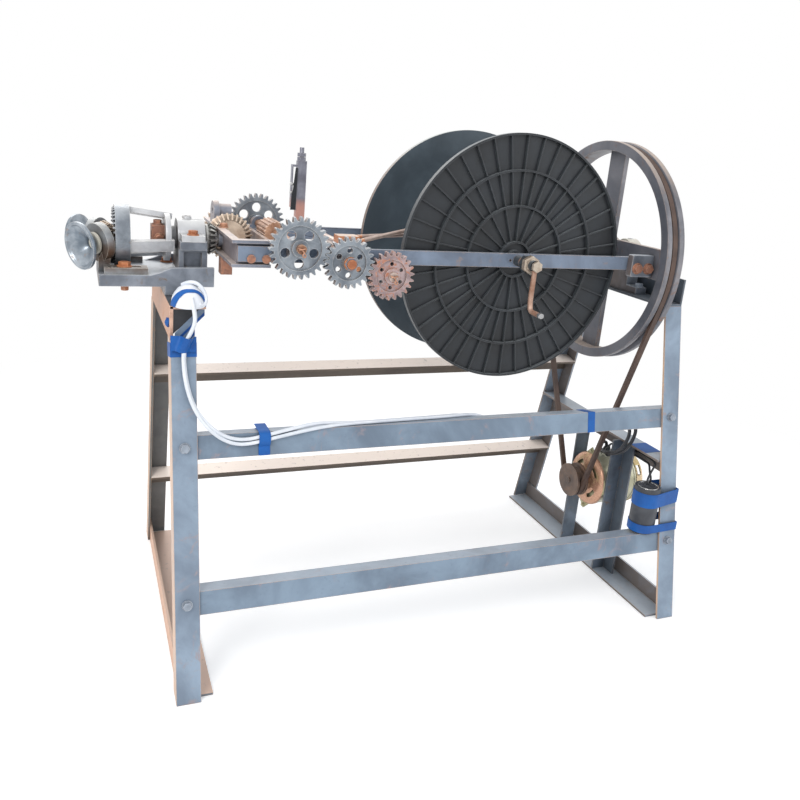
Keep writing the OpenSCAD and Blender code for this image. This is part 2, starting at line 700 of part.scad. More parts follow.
// channel bracket that carries a bar: an end wall toward the axis and an arm along the bar
module arm_bracket(near) {
    h = channel_h / 2;
    x0 = channel_left;
    y0 = flyer_half + 2;
    t = channel_t;
    web = bar_in;
    box([x0 + 10, -web, bar_z - h], [x0 + 16, -near, bar_z + h]);
    box([x0 + 10, -web, bar_z - h], [channel_right, -web + 8, bar_z + h]);
    for (z = [bar_z - h, bar_z + h - t]) {
        box([x0, -y0, z], [x0 + 16, -near, z + t]);
        box([x0, -y0, z], [channel_right, -web + 8, z + t]);
    }
}

module front_bracket() color("gray") difference() {
    union() {
        arm_bracket(-14);
        along_x(channel_left + 2, 0, axis_z) cylinder(r = 17, h = 24);
    }
    along_x(channel_left - 10, 0, axis_z) cylinder(r = hollow_r, h = 60);
}

module rear_bracket() color("gray") difference() {
    union() {
        side(1) arm_bracket(62);
        along_y(bevel_x, bar_in - 24, axis_z) cylinder(r = 18, h = 24);
        // upright plate with a round head and a boss that points along the bars
        box([channel_left + 4, 62, bar_z], [channel_left + 16, 112, bar_z + 45]);
        along_x(channel_left + 4, 87, bar_z + 45) cylinder(r = 25, h = 12);
        along_x(channel_left + 16, 87, bar_z + 48) cylinder(r = 16, h = 26);
    }
    along_x(channel_left, 87, bar_z + 48) cylinder(r = 7, h = 60);
    along_y(bevel_x, bar_in - 40, axis_z) cylinder(r = shaft_r + 1 + run_gap, h = 80);
}

// flat bar with its shaft lugs; lug heights reach from the bar to each shaft
module flyer_bar(s, left) side(s) difference() {
    union() {
        box([left, -flyer_half, bar_z - bar_h / 2], [440, -bar_in, bar_z + bar_h / 2]);
        for (p = [[cross_x, cross_z], [screw_x, screw_z]]) {
            along_y(p[0], -flyer_half - lug_out, p[1]) cylinder(r = lug_r, h = lug_out + bar_t);
            box([p[0] - lug_r, -flyer_half - lug_out, min(p[1], bar_z)],
                [p[0] + lug_r, -bar_in, max(p[1], bar_z)]);
        }
        if (s < 0) along_y(idler_x, -flyer_half - lug_out, idler_z) cylinder(r = lug_r, h = lug_out + bar_t);
    }
    for (p = [[cross_x, cross_z], [screw_x, screw_z]])
        along_y(p[0], -flyer_half - 20, p[1]) cylinder(r = shaft_r + run_gap, h = 60);
    along_y(reel_x, -flyer_half - 20, bar_z) cylinder(r = reel_shaft_r + run_gap, h = 60);
    if (s < 0) along_y(idler_x, -flyer_half - 20, idler_z) cylinder(r = 8, h = 60);
    if (s < 0) along_y(reel_x - 18, -flyer_half - 20, bar_z) cylinder(r = 2.5, h = 60);
}

module front_bar() color("steelblue") {
    flyer_bar(-1, -455);
    // bolt that the idler gear turns on
    along_y(idler_x, front_gear_y - 4.3, idler_z) cylinder(r = 8, h = 4.3 - front_gear_y - bar_in);
    along_y(idler_x, front_gear_y - 13, idler_z) hex(13, 8.7);
}
module rear_bar() color("steelblue") flyer_bar(1, -420);

module end_blocks() color("gray") for (s = [-1, 1]) side(s)
    box([410, -flyer_half - 18, bar_z - 27], [arm_x, -flyer_half, bar_z + 21]);

module cross_tie() color("dimgray") box([-383, -bar_in, bar_z - 14], [-375, bar_in, bar_z + 14]);

module tension_post() color("dimgray") {
    x = -262;
    y = flyer_half;
    box([x, y, bar_z - 15], [x + 21, y + 4, 975]);
    for (dx = [0, 17]) box([x + dx, y, bar_z - 15], [x + dx + 4, y + 15, 975]);
    box([x, y, 971], [x + 21, y + 15, 976]);
    translate([x + 10, y + 8, 971]) cylinder(r = 5, h = 34);
    for (z = [976, 985]) translate([x + 10, y + 8, z]) hex(10, 8);
    box([x - 12, y, 962], [x, y + 10, 967]);
    box([x - 12, y + 2, 872], [x - 9, y + 14, 967]);
}

module guide_rod() color("silver") along_y(rod_x, -bar_in, bar_z) cylinder(r = rod_r, h = 2 * bar_in);

// --- horns ---
// a crown tooth lies on the rear horn's meshing line; each pinion is turned into mesh with the crown gear
crown_phase = -mesh_below;
function crown_contact(s) = s > 0 ? -mesh_below : 180 + mesh_below;
function horn_contact(s) = s * atan2(cos(horn_drop) * sin(horn_splay), -sin(horn_drop));
function horn_phase(s) = horn_contact(s) + (crown_contact(s) - crown_phase) * tooth_ratio
    - 180 / pinion_teeth;
module front_horn() color("silver") horn(-1);
module rear_horn() color("silver") horn(1);
module front_horn_pinion() color("darkkhaki") horn_pinion(-1);
module rear_horn_pinion() color("darkkhaki") horn_pinion(1);

// --- gear train ---
// phase of a gear in mesh: teeth ta turned by pa drive teeth tb that lie in direction dir
function mesh_phase(ta, pa, tb, dir) = dir + 180 + (dir - pa) * ta / tb - 180 / tb;

module bevel_gear() color("tan") {
    up = 2.8;
    down = 3.4;
    po = root_point(bevel_delta, bevel_cone, down);
    pi = root_point(bevel_delta, bevel_cone - bevel_face, down);
    r = shaft_r + 1;
    tip = rear_gear_y + gear_w + 6;
    along_y(bevel_x, 0, axis_z) {
        rotate(180 / bevel_teeth)
            bevel_teeth(bevel_teeth, bevel_delta, bevel_cone, bevel_face, up, down + 0.5);
        rotate_extrude() polygon([[0, pi[1] + 3], [pi[0] - 8, pi[1] + 3], pi, po, [po[0], po[1] + 5],
            [20, po[1] + 5], [20, po[1] + 14], [r, po[1] + 14], [r, tip], [0, tip]]);
    }
    along_y(bevel_x, rear_gear_y, axis_z) rotate(pinion_phase)
        linear_extrude(gear_w) spur_outline(spur_pinion_teeth);
}

module fluted_roller(r, l, flutes) difference() {
    cylinder(r = r, h = l);
    for (i = [0:flutes - 1]) rotate(i * 360 / flutes) translate([r + 1, 0, -1])
        cylinder(r = 3, h = l + 2, $fn = 16);
}

module cross_shaft() color("peru") {
    along_y(cross_x, front_gear_y - 12, cross_z)
        cylinder(r = shaft_r, h = rear_gear_y + gear_w + 22 - front_gear_y);
    along_y(cross_x, -10, cross_z) fluted_roller(25, 80, 18);
}

// gears are drawn looking along +Y, so directions in the x-z plane turn the other way
cross_dir = -atan2(cross_z - axis_z, cross_x - bevel_x);
idler_dir = -atan2(idler_z - cross_z, idler_x - cross_x);
screw_dir = -atan2(screw_z - idler_z, screw_x - idler_x);
pinion_phase = 0;
rear_phase = mesh_phase(spur_pinion_teeth, pinion_phase, rear_teeth, cross_dir);
front_phase = 4;
idler_phase = mesh_phase(front_teeth, front_phase, idler_teeth, idler_dir);
screw_phase = mesh_phase(idler_teeth, idler_phase, screw_teeth, screw_dir);

module front_gear() color("gray") along_y(cross_x, front_gear_y, cross_z)
    spur_gear(front_teeth, front_phase, 5, 9, 16, shaft_r);
module rear_gear() color("gray") along_y(cross_x, rear_gear_y, cross_z)
    spur_gear(rear_teeth, rear_phase, 6, 10, 18, shaft_r);
module idler_gear() color("lightslategray") along_y(idler_x, front_gear_y, idler_z)
    spur_gear(idler_teeth, idler_phase, 6, 5.5, 14, 8 + run_gap);
module screw_gear() color("rosybrown") along_y(screw_x, front_gear_y, screw_z)
    spur_gear(screw_teeth, screw_phase, 6, 4, 15, shaft_r);

module traverse_screw() color("rosybrown") {
    pitch = screw_l / thread_turns;
    ridge = [[screw_core_r, 0.1], [screw_r, 0.3], [screw_r, 0.6], [screw_core_r, 0.8]];
    along_y(screw_x, front_gear_y - 12, screw_z) cylinder(r = shaft_r, h = flyer_half + 26 - front_gear_y);
    along_y(screw_x, -bar_in + 1, screw_z) rotate_extrude() polygon(concat([[0, 0], [screw_core_r, 0]],
        [for (i = [0:thread_turns - 1]) for (q = ridge) [q[0], (i + q[1]) * pitch]],
        [[screw_core_r, screw_l], [0, screw_l]]));
}

module carriage() color("sienna") difference() {
    union() {
        box([rod_x - 20, -58, bar_z - 14], [rod_x + 24, -22, bar_z + 24]);
        box([rod_x + 4, -52, screw_z - 20], [screw_x + 22, -28, screw_z + 26]);
        // two fingers that lay the strand on the reel
        for (p = [[-50, 12, 14], [-32, 20, 4]]) translate([rod_x + 20, p[0], bar_z + p[1]])
            rotate([0, 90 - p[2], 0]) cylinder(r = 4, h = 112);
    }
    along_y(rod_x, -100, bar_z) cylinder(r = rod_r + run_gap, h = 200);
    along_y(screw_x, -100, screw_z) cylinder(r = screw_r + 0.3, h = 200);
}

// --- reel ---
// flange standing on z = 0 with its smooth face down and its ribs up
module reel_flange() {
    plate = 3;
    rim_w = 4;
    difference() {
        union() {
            cylinder(r = reel_r, h = plate);
            for (r = [reel_r, reel_r * 0.72, reel_r * 0.44, reel_r * 0.15]) difference() {
                cylinder(r = r, h = flange_w);
                translate([0, 0, plate]) cylinder(r = r - rim_w, h = flange_w);
            }
            for (i = [0:rib_count - 1]) rotate(i * 360 / rib_count)
                box([reel_r * (i % 2 == 0 ? 0.14 : 0.43), -1.2, plate - 1], [reel_r - 2, 1.2, flange_w - 3]);
            cylinder(r = 20, h = flange_w);
        }
        translate([0, 0, -1]) cylinder(r = reel_shaft_r, h = flange_w + 2);
    }
}
module reel_front_flange() color("darkslategray") translate([reel_x, reel_front_y + flange_w, bar_z])
    rotate([90, 0, 0]) reel_flange();
module reel_rear_flange() color("darkslategray") translate([reel_x, reel_rear_y - flange_w, bar_z])
    rotate([-90, 0, 0]) reel_flange();

module reel_core() color("darkslategray") {
    low = reel_front_y + flange_w;
    high = reel_rear_y - flange_w;
    difference() {
        union() {
            along_y(reel_x, low, bar_z) cylinder(r = core_r, h = high - low);
            along_y(reel_x, reel_rear_y, bar_z) cylinder(r = 19, h = bar_in - 0.5 - reel_rear_y);
        }
        along_y(reel_x, low + 4, bar_z) difference() {
            cylinder(r = core_r - 5, h = high - low - 8);
            cylinder(r = 20, h = high - low - 8);
        }
    }
    along_y(reel_x, crank_y - 2, bar_z) cylinder(r = reel_shaft_r, h = flyer_half + 24 - crank_y);
    for (y = [crank_y + 22, flyer_half + 4]) along_y(reel_x, y, bar_z) hex(19, 12);
}

module crank() color("rosybrown") {
    difference() {
        union() {
            along_y(reel_x, crank_y, bar_z) cylinder(r = 17, h = 18);
            box([reel_x - 6, crank_y + 3, bar_z - crank_drop], [reel_x + 6, crank_y + 13, bar_z]);
            along_y(reel_x, crank_y + 3, bar_z - crank_drop) cylinder(r = 8, h = 10);
        }
        along_y(reel_x, crank_y - 5, bar_z) cylinder(r = reel_shaft_r, h = 40);
    }
    along_y(reel_x, crank_y - 49, bar_z - crank_drop) cylinder(r = 8, h = 52);
}

placed() left_front_leg();
placed() left_rear_leg();
placed() right_front_leg();
placed() right_rear_leg();
placed() left_base_rail();
placed() right_base_rail();
placed() front_lower_rail();
placed() front_upper_rail();
placed() rear_lower_rail();
placed() rear_upper_rail();
placed() left_cross_beam();
placed() right_cross_beam();
placed() side_rail();
placed() motor_uprights();
placed() stand_bolts();
placed() head_base();
placed() pedestal_cap();
placed() head_bolts();
placed() horn_bracket();
placed() fixed_bevel_gear();
placed() right_bearing();
placed() right_bearing_cap();
placed() motor_body();
placed() motor_covers();
placed() capacitor();
placed() tape_bands();
placed() switch_body();
placed() switch_leads();
placed() drive_belt();
placed() motor_pulley();
placed() belt_wheel();
placed() wheel_shaft();
placed() hollow_shaft();
placed() crown_gear();
placed() yoke_cage();
placed() flyer_bolts();
placed() front_bracket();
placed() rear_bracket();
placed() front_bar();
placed() rear_bar();
placed() end_blocks();
placed() cross_tie();
placed() tension_post();
placed() guide_rod();
placed() front_horn();
placed() rear_horn();
placed() front_horn_pinion();
placed() rear_horn_pinion();
placed() bevel_gear();
placed() cross_shaft();
placed() front_gear();
placed() rear_gear();
placed() idler_gear();
placed() screw_gear();
placed() traverse_screw();
placed() carriage();
placed() reel_front_flange();
placed() reel_rear_flange();
placed() reel_core();
placed() crank();
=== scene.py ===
"""Dresses the rope making machine: worn steel stand, cast head, flyer, gears, reel, drive and wiring."""

import json
import logging
import math
from dataclasses import dataclass
from enum import Enum
from typing import Callable, Sequence

import bpy
from mathutils import Matrix, Vector


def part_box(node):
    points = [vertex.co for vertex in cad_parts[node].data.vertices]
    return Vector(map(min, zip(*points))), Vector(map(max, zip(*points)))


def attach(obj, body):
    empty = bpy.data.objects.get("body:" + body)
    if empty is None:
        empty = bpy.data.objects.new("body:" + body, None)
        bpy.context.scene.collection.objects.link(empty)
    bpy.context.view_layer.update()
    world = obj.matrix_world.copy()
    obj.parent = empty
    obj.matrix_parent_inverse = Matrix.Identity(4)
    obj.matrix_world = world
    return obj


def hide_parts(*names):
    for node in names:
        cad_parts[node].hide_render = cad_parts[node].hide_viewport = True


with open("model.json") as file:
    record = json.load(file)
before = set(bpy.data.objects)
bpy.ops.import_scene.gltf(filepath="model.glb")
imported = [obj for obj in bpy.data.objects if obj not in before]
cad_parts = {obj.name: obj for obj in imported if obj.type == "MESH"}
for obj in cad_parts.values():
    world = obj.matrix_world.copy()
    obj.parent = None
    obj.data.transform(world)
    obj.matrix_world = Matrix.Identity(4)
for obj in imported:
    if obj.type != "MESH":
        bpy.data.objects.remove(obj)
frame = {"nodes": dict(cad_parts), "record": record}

Point = tuple[float, float, float]
Colour = tuple[float, float, float]
Item = float | Colour | bpy.types.NodeSocket

log = logging.getLogger("rope_machine")
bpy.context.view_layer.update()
MM = 1000.0
STAIN_SHARE, SPECK_SHARE, GRAIN_FUZZ = 0.85, 0.35, 0.12
CREVICE_SHADE_REACH, GRAIN_DEPTH, TAPE_THICKNESS = 0.02, 0.0006, 0.0005
SMOOTH_BELOW, TURNED_SMOOTH_BELOW = 40.0, 32.0
UP, DOWN = Vector((0.0, 0.0, 1.0)), Vector((0.0, 0.0, -1.0))
FRONT, LEFT, RIGHT = Vector((0.0, -1.0, 0.0)), Vector((-1.0, 0.0, 0.0)), Vector((1.0, 0.0, 0.0))


def middle_of_stand() -> float:
    """Returns the middle of the stand along X, in millimetres, from a rail that spans it."""
    low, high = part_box("front_upper_rail")
    return (low.x + high.x) * MM / 2.0


SHIFT_X = middle_of_stand()


def place(x: float, y: float, z: float) -> Point:
    """Returns a point given in millimetres from the middle of the stand as metres in the frame."""
    return ((x + SHIFT_X) / MM, y / MM, z / MM)


def limits(node: str) -> tuple[Point, Point]:
    """Returns a CAD node's lowest and highest corner in millimetres from the middle of the stand."""
    return tuple((corner.x * MM - SHIFT_X, corner.y * MM, corner.z * MM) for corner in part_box(node))


def middle(node: str) -> Point:
    """Returns the middle of a CAD node's box in millimetres from the middle of the stand."""
    return tuple((a + b) / 2.0 for a, b in zip(*limits(node)))


def srgb(code: str) -> Colour:
    """Returns the linear colour of a hexadecimal display colour."""
    shares = (int(code[k:k + 2], 16) / 255.0 for k in (0, 2, 4))
    return tuple(v / 12.92 if v <= 0.04045 else ((v + 0.055) / 1.055) ** 2.4 for v in shares)


# ---------------------------------------------------------------- shader groups


class Mask(Enum):
    """The shader groups, by name."""

    WEAR = "EdgeWear"
    PATCHES = "Patches"
    # painted light and shade on the faces turned left, to the front and up
    SIDES = "PaintedSideLight"
    FOOT = "Foot"


class Graph:
    """Adds nodes to the tree of a shader group, a material or the world."""

    def __init__(self, tree: bpy.types.NodeTree) -> None:
        """Starts on an emptied tree.

        Args:
            tree: the tree to fill.
        """
        self.tree = tree
        tree.nodes.clear()

    @classmethod
    def group(cls, mask: Mask, inputs: dict[str, float], outputs: Sequence[str]) -> "Graph":
        """Starts a shader group.

        Args:
            mask: which group it is.
            inputs: the names of its inputs, with their default values.
            outputs: the names of its outputs.

        Returns:
            The graph, with the group's sockets as entry and exit.
        """
        g = cls(bpy.data.node_groups.new(mask.value, "ShaderNodeTree"))
        sockets = g.tree.interface
        for label, value in inputs.items():
            sockets.new_socket(name=label, in_out="INPUT", socket_type="NodeSocketFloat").default_value = value
        for label in outputs:
            sockets.new_socket(name=label, in_out="OUTPUT", socket_type="NodeSocketFloat")
        g.entry = g.tree.nodes.new("NodeGroupInput").outputs
        g.exit = g.tree.nodes.new("NodeGroupOutput").inputs
        return g

    def put(self, socket: bpy.types.NodeSocket, item: Item) -> None:
        """Gives a socket a number or a colour, or links another socket to it.

        Args:
            socket: the input to fill.
            item: the number, the colour or the other socket.
        """
        if isinstance(item, bpy.types.NodeSocket):
            self.tree.links.new(item, socket)
        else:
            socket.default_value = (*item, 1.0) if isinstance(item, tuple) else item

    def add(self, kind: str, inputs: dict[str | int, Item] | None = None, **settings: object) -> bpy.types.Node:
        """Adds a node.

        Args:
            kind: its type, without the usual prefix.
            inputs: what goes into its sockets, by name or number.
            settings: its properties.

        Returns:
            The node.
        """
        node = self.tree.nodes.new("ShaderNode" + kind)
        for key, value in settings.items():
            setattr(node, key, value)
        for key, item in (inputs or {}).items():
            self.put(node.inputs[key], item)
        return node

    def use(self, mask: Mask, inputs: dict[str, float]) -> bpy.types.bpy_prop_collection:
        """Adds a shader group with its inputs and returns its outputs."""
        return self.add("Group", inputs, node_tree=GROUPS[mask]).outputs

    def math(self, kind: str, *items: Item, clamp: bool = False) -> bpy.types.NodeSocket:
        """Adds a math node on up to three items and returns its socket."""
        return self.add("Math", dict(enumerate(items)), operation=kind, use_clamp=clamp).outputs[0]

    def times(self, a: Item, b: Item, clamp: bool = False) -> bpy.types.NodeSocket:
        """Multiplies two items and returns the product's socket."""
        return self.math("MULTIPLY", a, b, clamp=clamp)

    def noise(self, scale: Item, detail: float, rough: float, warp: float = 0.0,
              spot: bpy.types.NodeSocket | None = None) -> bpy.types.NodeSocket:
        """Adds a noise texture, on the object's own coordinates unless a spot is given, and returns its socket."""
        return self.add("TexNoise", {"Vector": spot or self.where("Object"), "Scale": scale, "Detail": detail,
                                     "Roughness": rough, "Distortion": warp}).outputs["Fac"]

    def where(self, kind: str) -> bpy.types.NodeSocket:
        """Adds texture coordinates and returns one of their sockets."""
        return self.add("TexCoord").outputs[kind]

    def axes(self, kind: str) -> bpy.types.bpy_prop_collection:
        """Splits texture coordinates into X, Y and Z and returns the sockets."""
        return self.add("SeparateXYZ", {0: self.where(kind)}).outputs

    def window(self, value: bpy.types.NodeSocket, low: Item, high: Item) -> bpy.types.NodeSocket:
        """Adds a smooth step of a value between two levels and returns its socket."""
        return self.add("MapRange", {"Value": value, "From Min": low, "From Max": high},
                        interpolation_type="SMOOTHSTEP").outputs["Result"]

    def mix(self, factor: Item, a: Item, b: Item, blend: str = "MIX") -> bpy.types.NodeSocket:
        """Adds a colour mix and returns its socket."""
        return self.add("Mix", {0: factor, 6: a, 7: b}, data_type="RGBA", blend_type=blend,
                        clamp_factor=True).outputs[2]

    def surface(self, height: bpy.types.NodeSocket, strength: float, depth: float, inputs: dict[str, Item]) -> None:
        """Ends a material with a bumped shader.

        Args:
            height: what raises the bumps.
            strength: how strong they are.
            depth: how deep they are, in metres.
            inputs: the shader's other inputs.
        """
        bump = self.add("Bump", {"Strength": strength, "Distance": depth, "Height": height})
        shader = self.add("BsdfPrincipled", {**inputs, "Normal": bump.outputs[0]})
        self.add("OutputMaterial", {"Surface": shader.outputs[0]})


def edge_wear() -> bpy.types.NodeTree:
    """Builds a group that marks worn edges: 1 on an edge, broken up by noise.

    Returns:
        The group.
    """
    g = Graph.group(Mask.WEAR, {"Radius": 0.002, "Amount": 0.6}, ["Mask"])
    bevel = g.add("Bevel", {"Radius": g.entry["Radius"]}, samples=4)
    dot = g.add("VectorMath", {0: bevel.outputs["Normal"], 1: g.add("NewGeometry").outputs["Normal"]},
                operation="DOT_PRODUCT")
    lift = g.times(g.math("SUBTRACT", 1.0, dot.outputs["Value"]), 9.0)
    rough = g.math("MULTIPLY_ADD", g.noise(120.0, 5.0, 0.65), 1.6, -0.35, clamp=True)
    g.put(g.exit["Mask"], g.times(g.times(lift, rough), g.entry["Amount"], clamp=True))
    return g.tree


def patches() -> bpy.types.NodeTree:
    """Builds a group that puts out soft stains at two sizes and a fine grain.

    Returns:
        The group.
    """
    g = Graph.group(Mask.PATCHES, {"Scale": 8.0, "Grain": 400.0, "Cover": 0.4, "Shift": 0.0},
                    ["Stain", "Cloud", "Grain", "Speck"])
    spot = g.add("VectorMath", {0: g.where("Object"), 1: g.entry["Shift"]}, operation="ADD").outputs[0]
    scale = g.entry["Scale"]
    stain = g.noise(g.times(scale, 2.7), 8.0, 0.68, 1.2, spot)
    level = g.math("SUBTRACT", 0.82, g.times(g.entry["Cover"], 0.6))
    g.put(g.exit["Stain"], g.window(stain, level, g.math("ADD", level, 0.14)))
    g.put(g.exit["Cloud"], g.window(g.noise(scale, 5.0, 0.6, 0.4, spot), 0.3, 0.7))
    g.put(g.exit["Grain"], g.noise(g.entry["Grain"], 3.0, 0.6, 0.0, spot))
    g.put(g.exit["Speck"], g.window(g.noise(g.times(scale, 14.0), 4.0, 0.7, 0.0, spot), 0.58, 0.72))
    return g.tree


def sides() -> bpy.types.NodeTree:
    """Builds a group that marks the faces turned to -X, to -Y and up, with a ragged limit, where painted light and
    shade go.

    Returns:
        The group.
    """
    g = Graph.group(Mask.SIDES, {"Cover": 0.25}, ["Left", "Front", "Top"])
    way = g.axes("Normal")
    soft = g.math("MULTIPLY_ADD", g.noise(14.0, 5.0, 0.65, 0.8), 1.1, g.entry["Cover"], clamp=True)
    for name, axis, sign, low, high in (("Left", "X", -1.0, 0.35, 0.9), ("Front", "Y", -1.0, 0.6, 0.98),
                                        ("Top", "Z", 1.0, 0.5, 0.95)):
        g.put(g.exit[name], g.times(g.window(g.times(way[axis], sign), low, high), soft))
    return g.tree


def foot() -> bpy.types.NodeTree:
    """Builds a group that marks what lies below a height, with a soft ragged limit.

    Returns:
        The group.
    """
    g = Graph.group(Mask.FOOT, {"Level": 0.5}, ["Below"])
    ragged, soft_band = g.noise(40.0, 4.0, 0.6), 0.03
    height = g.math("MULTIPLY_ADD", ragged, soft_band, g.axes("Object")["Z"])
    level = g.entry["Level"]
    above = g.window(height, level, g.math("ADD", level, soft_band))
    g.put(g.exit["Below"], g.math("SUBTRACT", 1.0, above))
    return g.tree


# ---------------------------------------------------------------- finishes


def new_material(name: str) -> tuple[bpy.types.Material, Graph]:
    """Starts a new material.

    Args:
        name: its name.

    Returns:
        The material, and the graph that fills it.
    """
    mat = bpy.data.materials.new(name)
    mat.use_nodes = True
    return mat, Graph(mat.node_tree)


@dataclass(frozen=True)
class MetalFinish:
    """A worn metal or paint: two main colours, a stain, the colour that shows at the edges, and painted crevice
    shade.

    Left, front and top hold a colour and a share for the faces turned that way: painted light and shade by facing.
    Foot holds a colour and the two heights that it lies between, in metres.
    """

    name: str
    light: str
    dark: str
    stain: str
    edge: str
    cover: float = 0.3
    edge_amount: float = 0.7
    edge_radius: float = 0.002
    left: tuple[str, float] | None = None
    front: tuple[str, float] | None = None
    top: tuple[str, float] | None = None
    foot: tuple[str, float, float] | None = None
    side_cover: float = 0.25
    metallic: float = 0.3
    smooth: float = 0.38
    rough: float = 0.62
    scale: float = 7.0
    grain: float = 500.0
    bump: float = 0.25
    painted_crevice_shade: float = 0.45

    def build(self) -> bpy.types.Material:
        """Builds the finish.

        Returns:
            The new material.
        """
        mat, g = new_material(self.name)
        marks = g.use(Mask.PATCHES, {"Scale": self.scale, "Grain": self.grain, "Cover": self.cover,
                                     "Shift": (sum(map(ord, self.name)) % 17) * 0.37})
        colour = g.mix(marks["Cloud"], srgb(self.dark), srgb(self.light))
        colour = g.mix(g.times(marks["Stain"], STAIN_SHARE), colour, srgb(self.stain))
        # Painted light and shade: faces turned left, to the front and up take a lighter or darker colour by facing.
        turned = [(name, *side) for name, side in (("Top", self.top), ("Left", self.left), ("Front", self.front))
                  if side]
        if turned:
            faces = g.use(Mask.SIDES, {"Cover": self.side_cover})
            for name, code, share in turned:
                colour = g.mix(g.times(faces[name], share), colour, srgb(code))
        if self.foot:
            code, high, low = self.foot
            below = g.use(Mask.FOOT, {"Level": high})["Below"]
            if low > 0.0:
                below = g.math("SUBTRACT", below, g.use(Mask.FOOT, {"Level": low})["Below"], clamp=True)
            colour = g.mix(below, colour, srgb(code))
        worn = g.use(Mask.WEAR, {"Radius": self.edge_radius, "Amount": self.edge_amount})
        colour = g.mix(worn["Mask"], colour, srgb(self.edge))
        # Painted shade: ambient occlusion darkens hollows and corners, where shade falls.
        crevice_occlusion = g.add("AmbientOcclusion", {"Distance": CREVICE_SHADE_REACH}, samples=4)
        shade = g.window(crevice_occlusion.outputs["AO"], 0.15, 0.85)
        colour = g.mix(1.0, colour, g.math("MULTIPLY_ADD", shade, self.painted_crevice_shade, 1.0 - self.painted_crevice_shade), "MULTIPLY")
        colour = g.mix(g.times(marks["Speck"], SPECK_SHARE), colour, srgb(self.dark))
        spread = g.math("MULTIPLY_ADD", marks["Stain"], self.rough - self.smooth, self.smooth)
        fuzz = g.math("MULTIPLY_ADD", marks["Grain"], GRAIN_FUZZ, -GRAIN_FUZZ / 2.0)
        g.surface(g.math("MULTIPLY_ADD", marks["Stain"], 0.4, marks["Grain"]), self.bump, GRAIN_DEPTH, {
            "Base Color": colour, "Roughness": g.math("ADD", spread, fuzz, clamp=True),
            "Metallic": g.times(g.math("SUBTRACT", 1.0, marks["Stain"]), self.metallic)})
        return mat


@dataclass(frozen=True)
class PlasticFinish:
    """A plastic, tape or rubber: one colour with a slight cloud, a sheen and a fine grain."""

    name: str
    colour: str
    shade: str
    roughness: float
    bump: float = 0.08

    def build(self) -> bpy.types.Material:
        """Builds the finish.

        Returns:
            The new material.
        """
        mat, g = new_material(self.name)
        marks = g.use(Mask.PATCHES, {"Scale": 22.0, "Grain": 300.0})
        fuzz = 0.2
        g.surface(marks["Grain"], self.bump, 0.0005, {
            "Base Color": g.mix(marks["Cloud"], srgb(self.shade), srgb(self.colour)),
            "Roughness": g.math("MULTIPLY_ADD", marks["Grain"], fuzz, self.roughness - fuzz / 2.0, clamp=True)})
        return mat


GROUPS: dict[Mask, bpy.types.NodeTree] = {}
MATERIALS: dict[str, bpy.types.Material] = {}
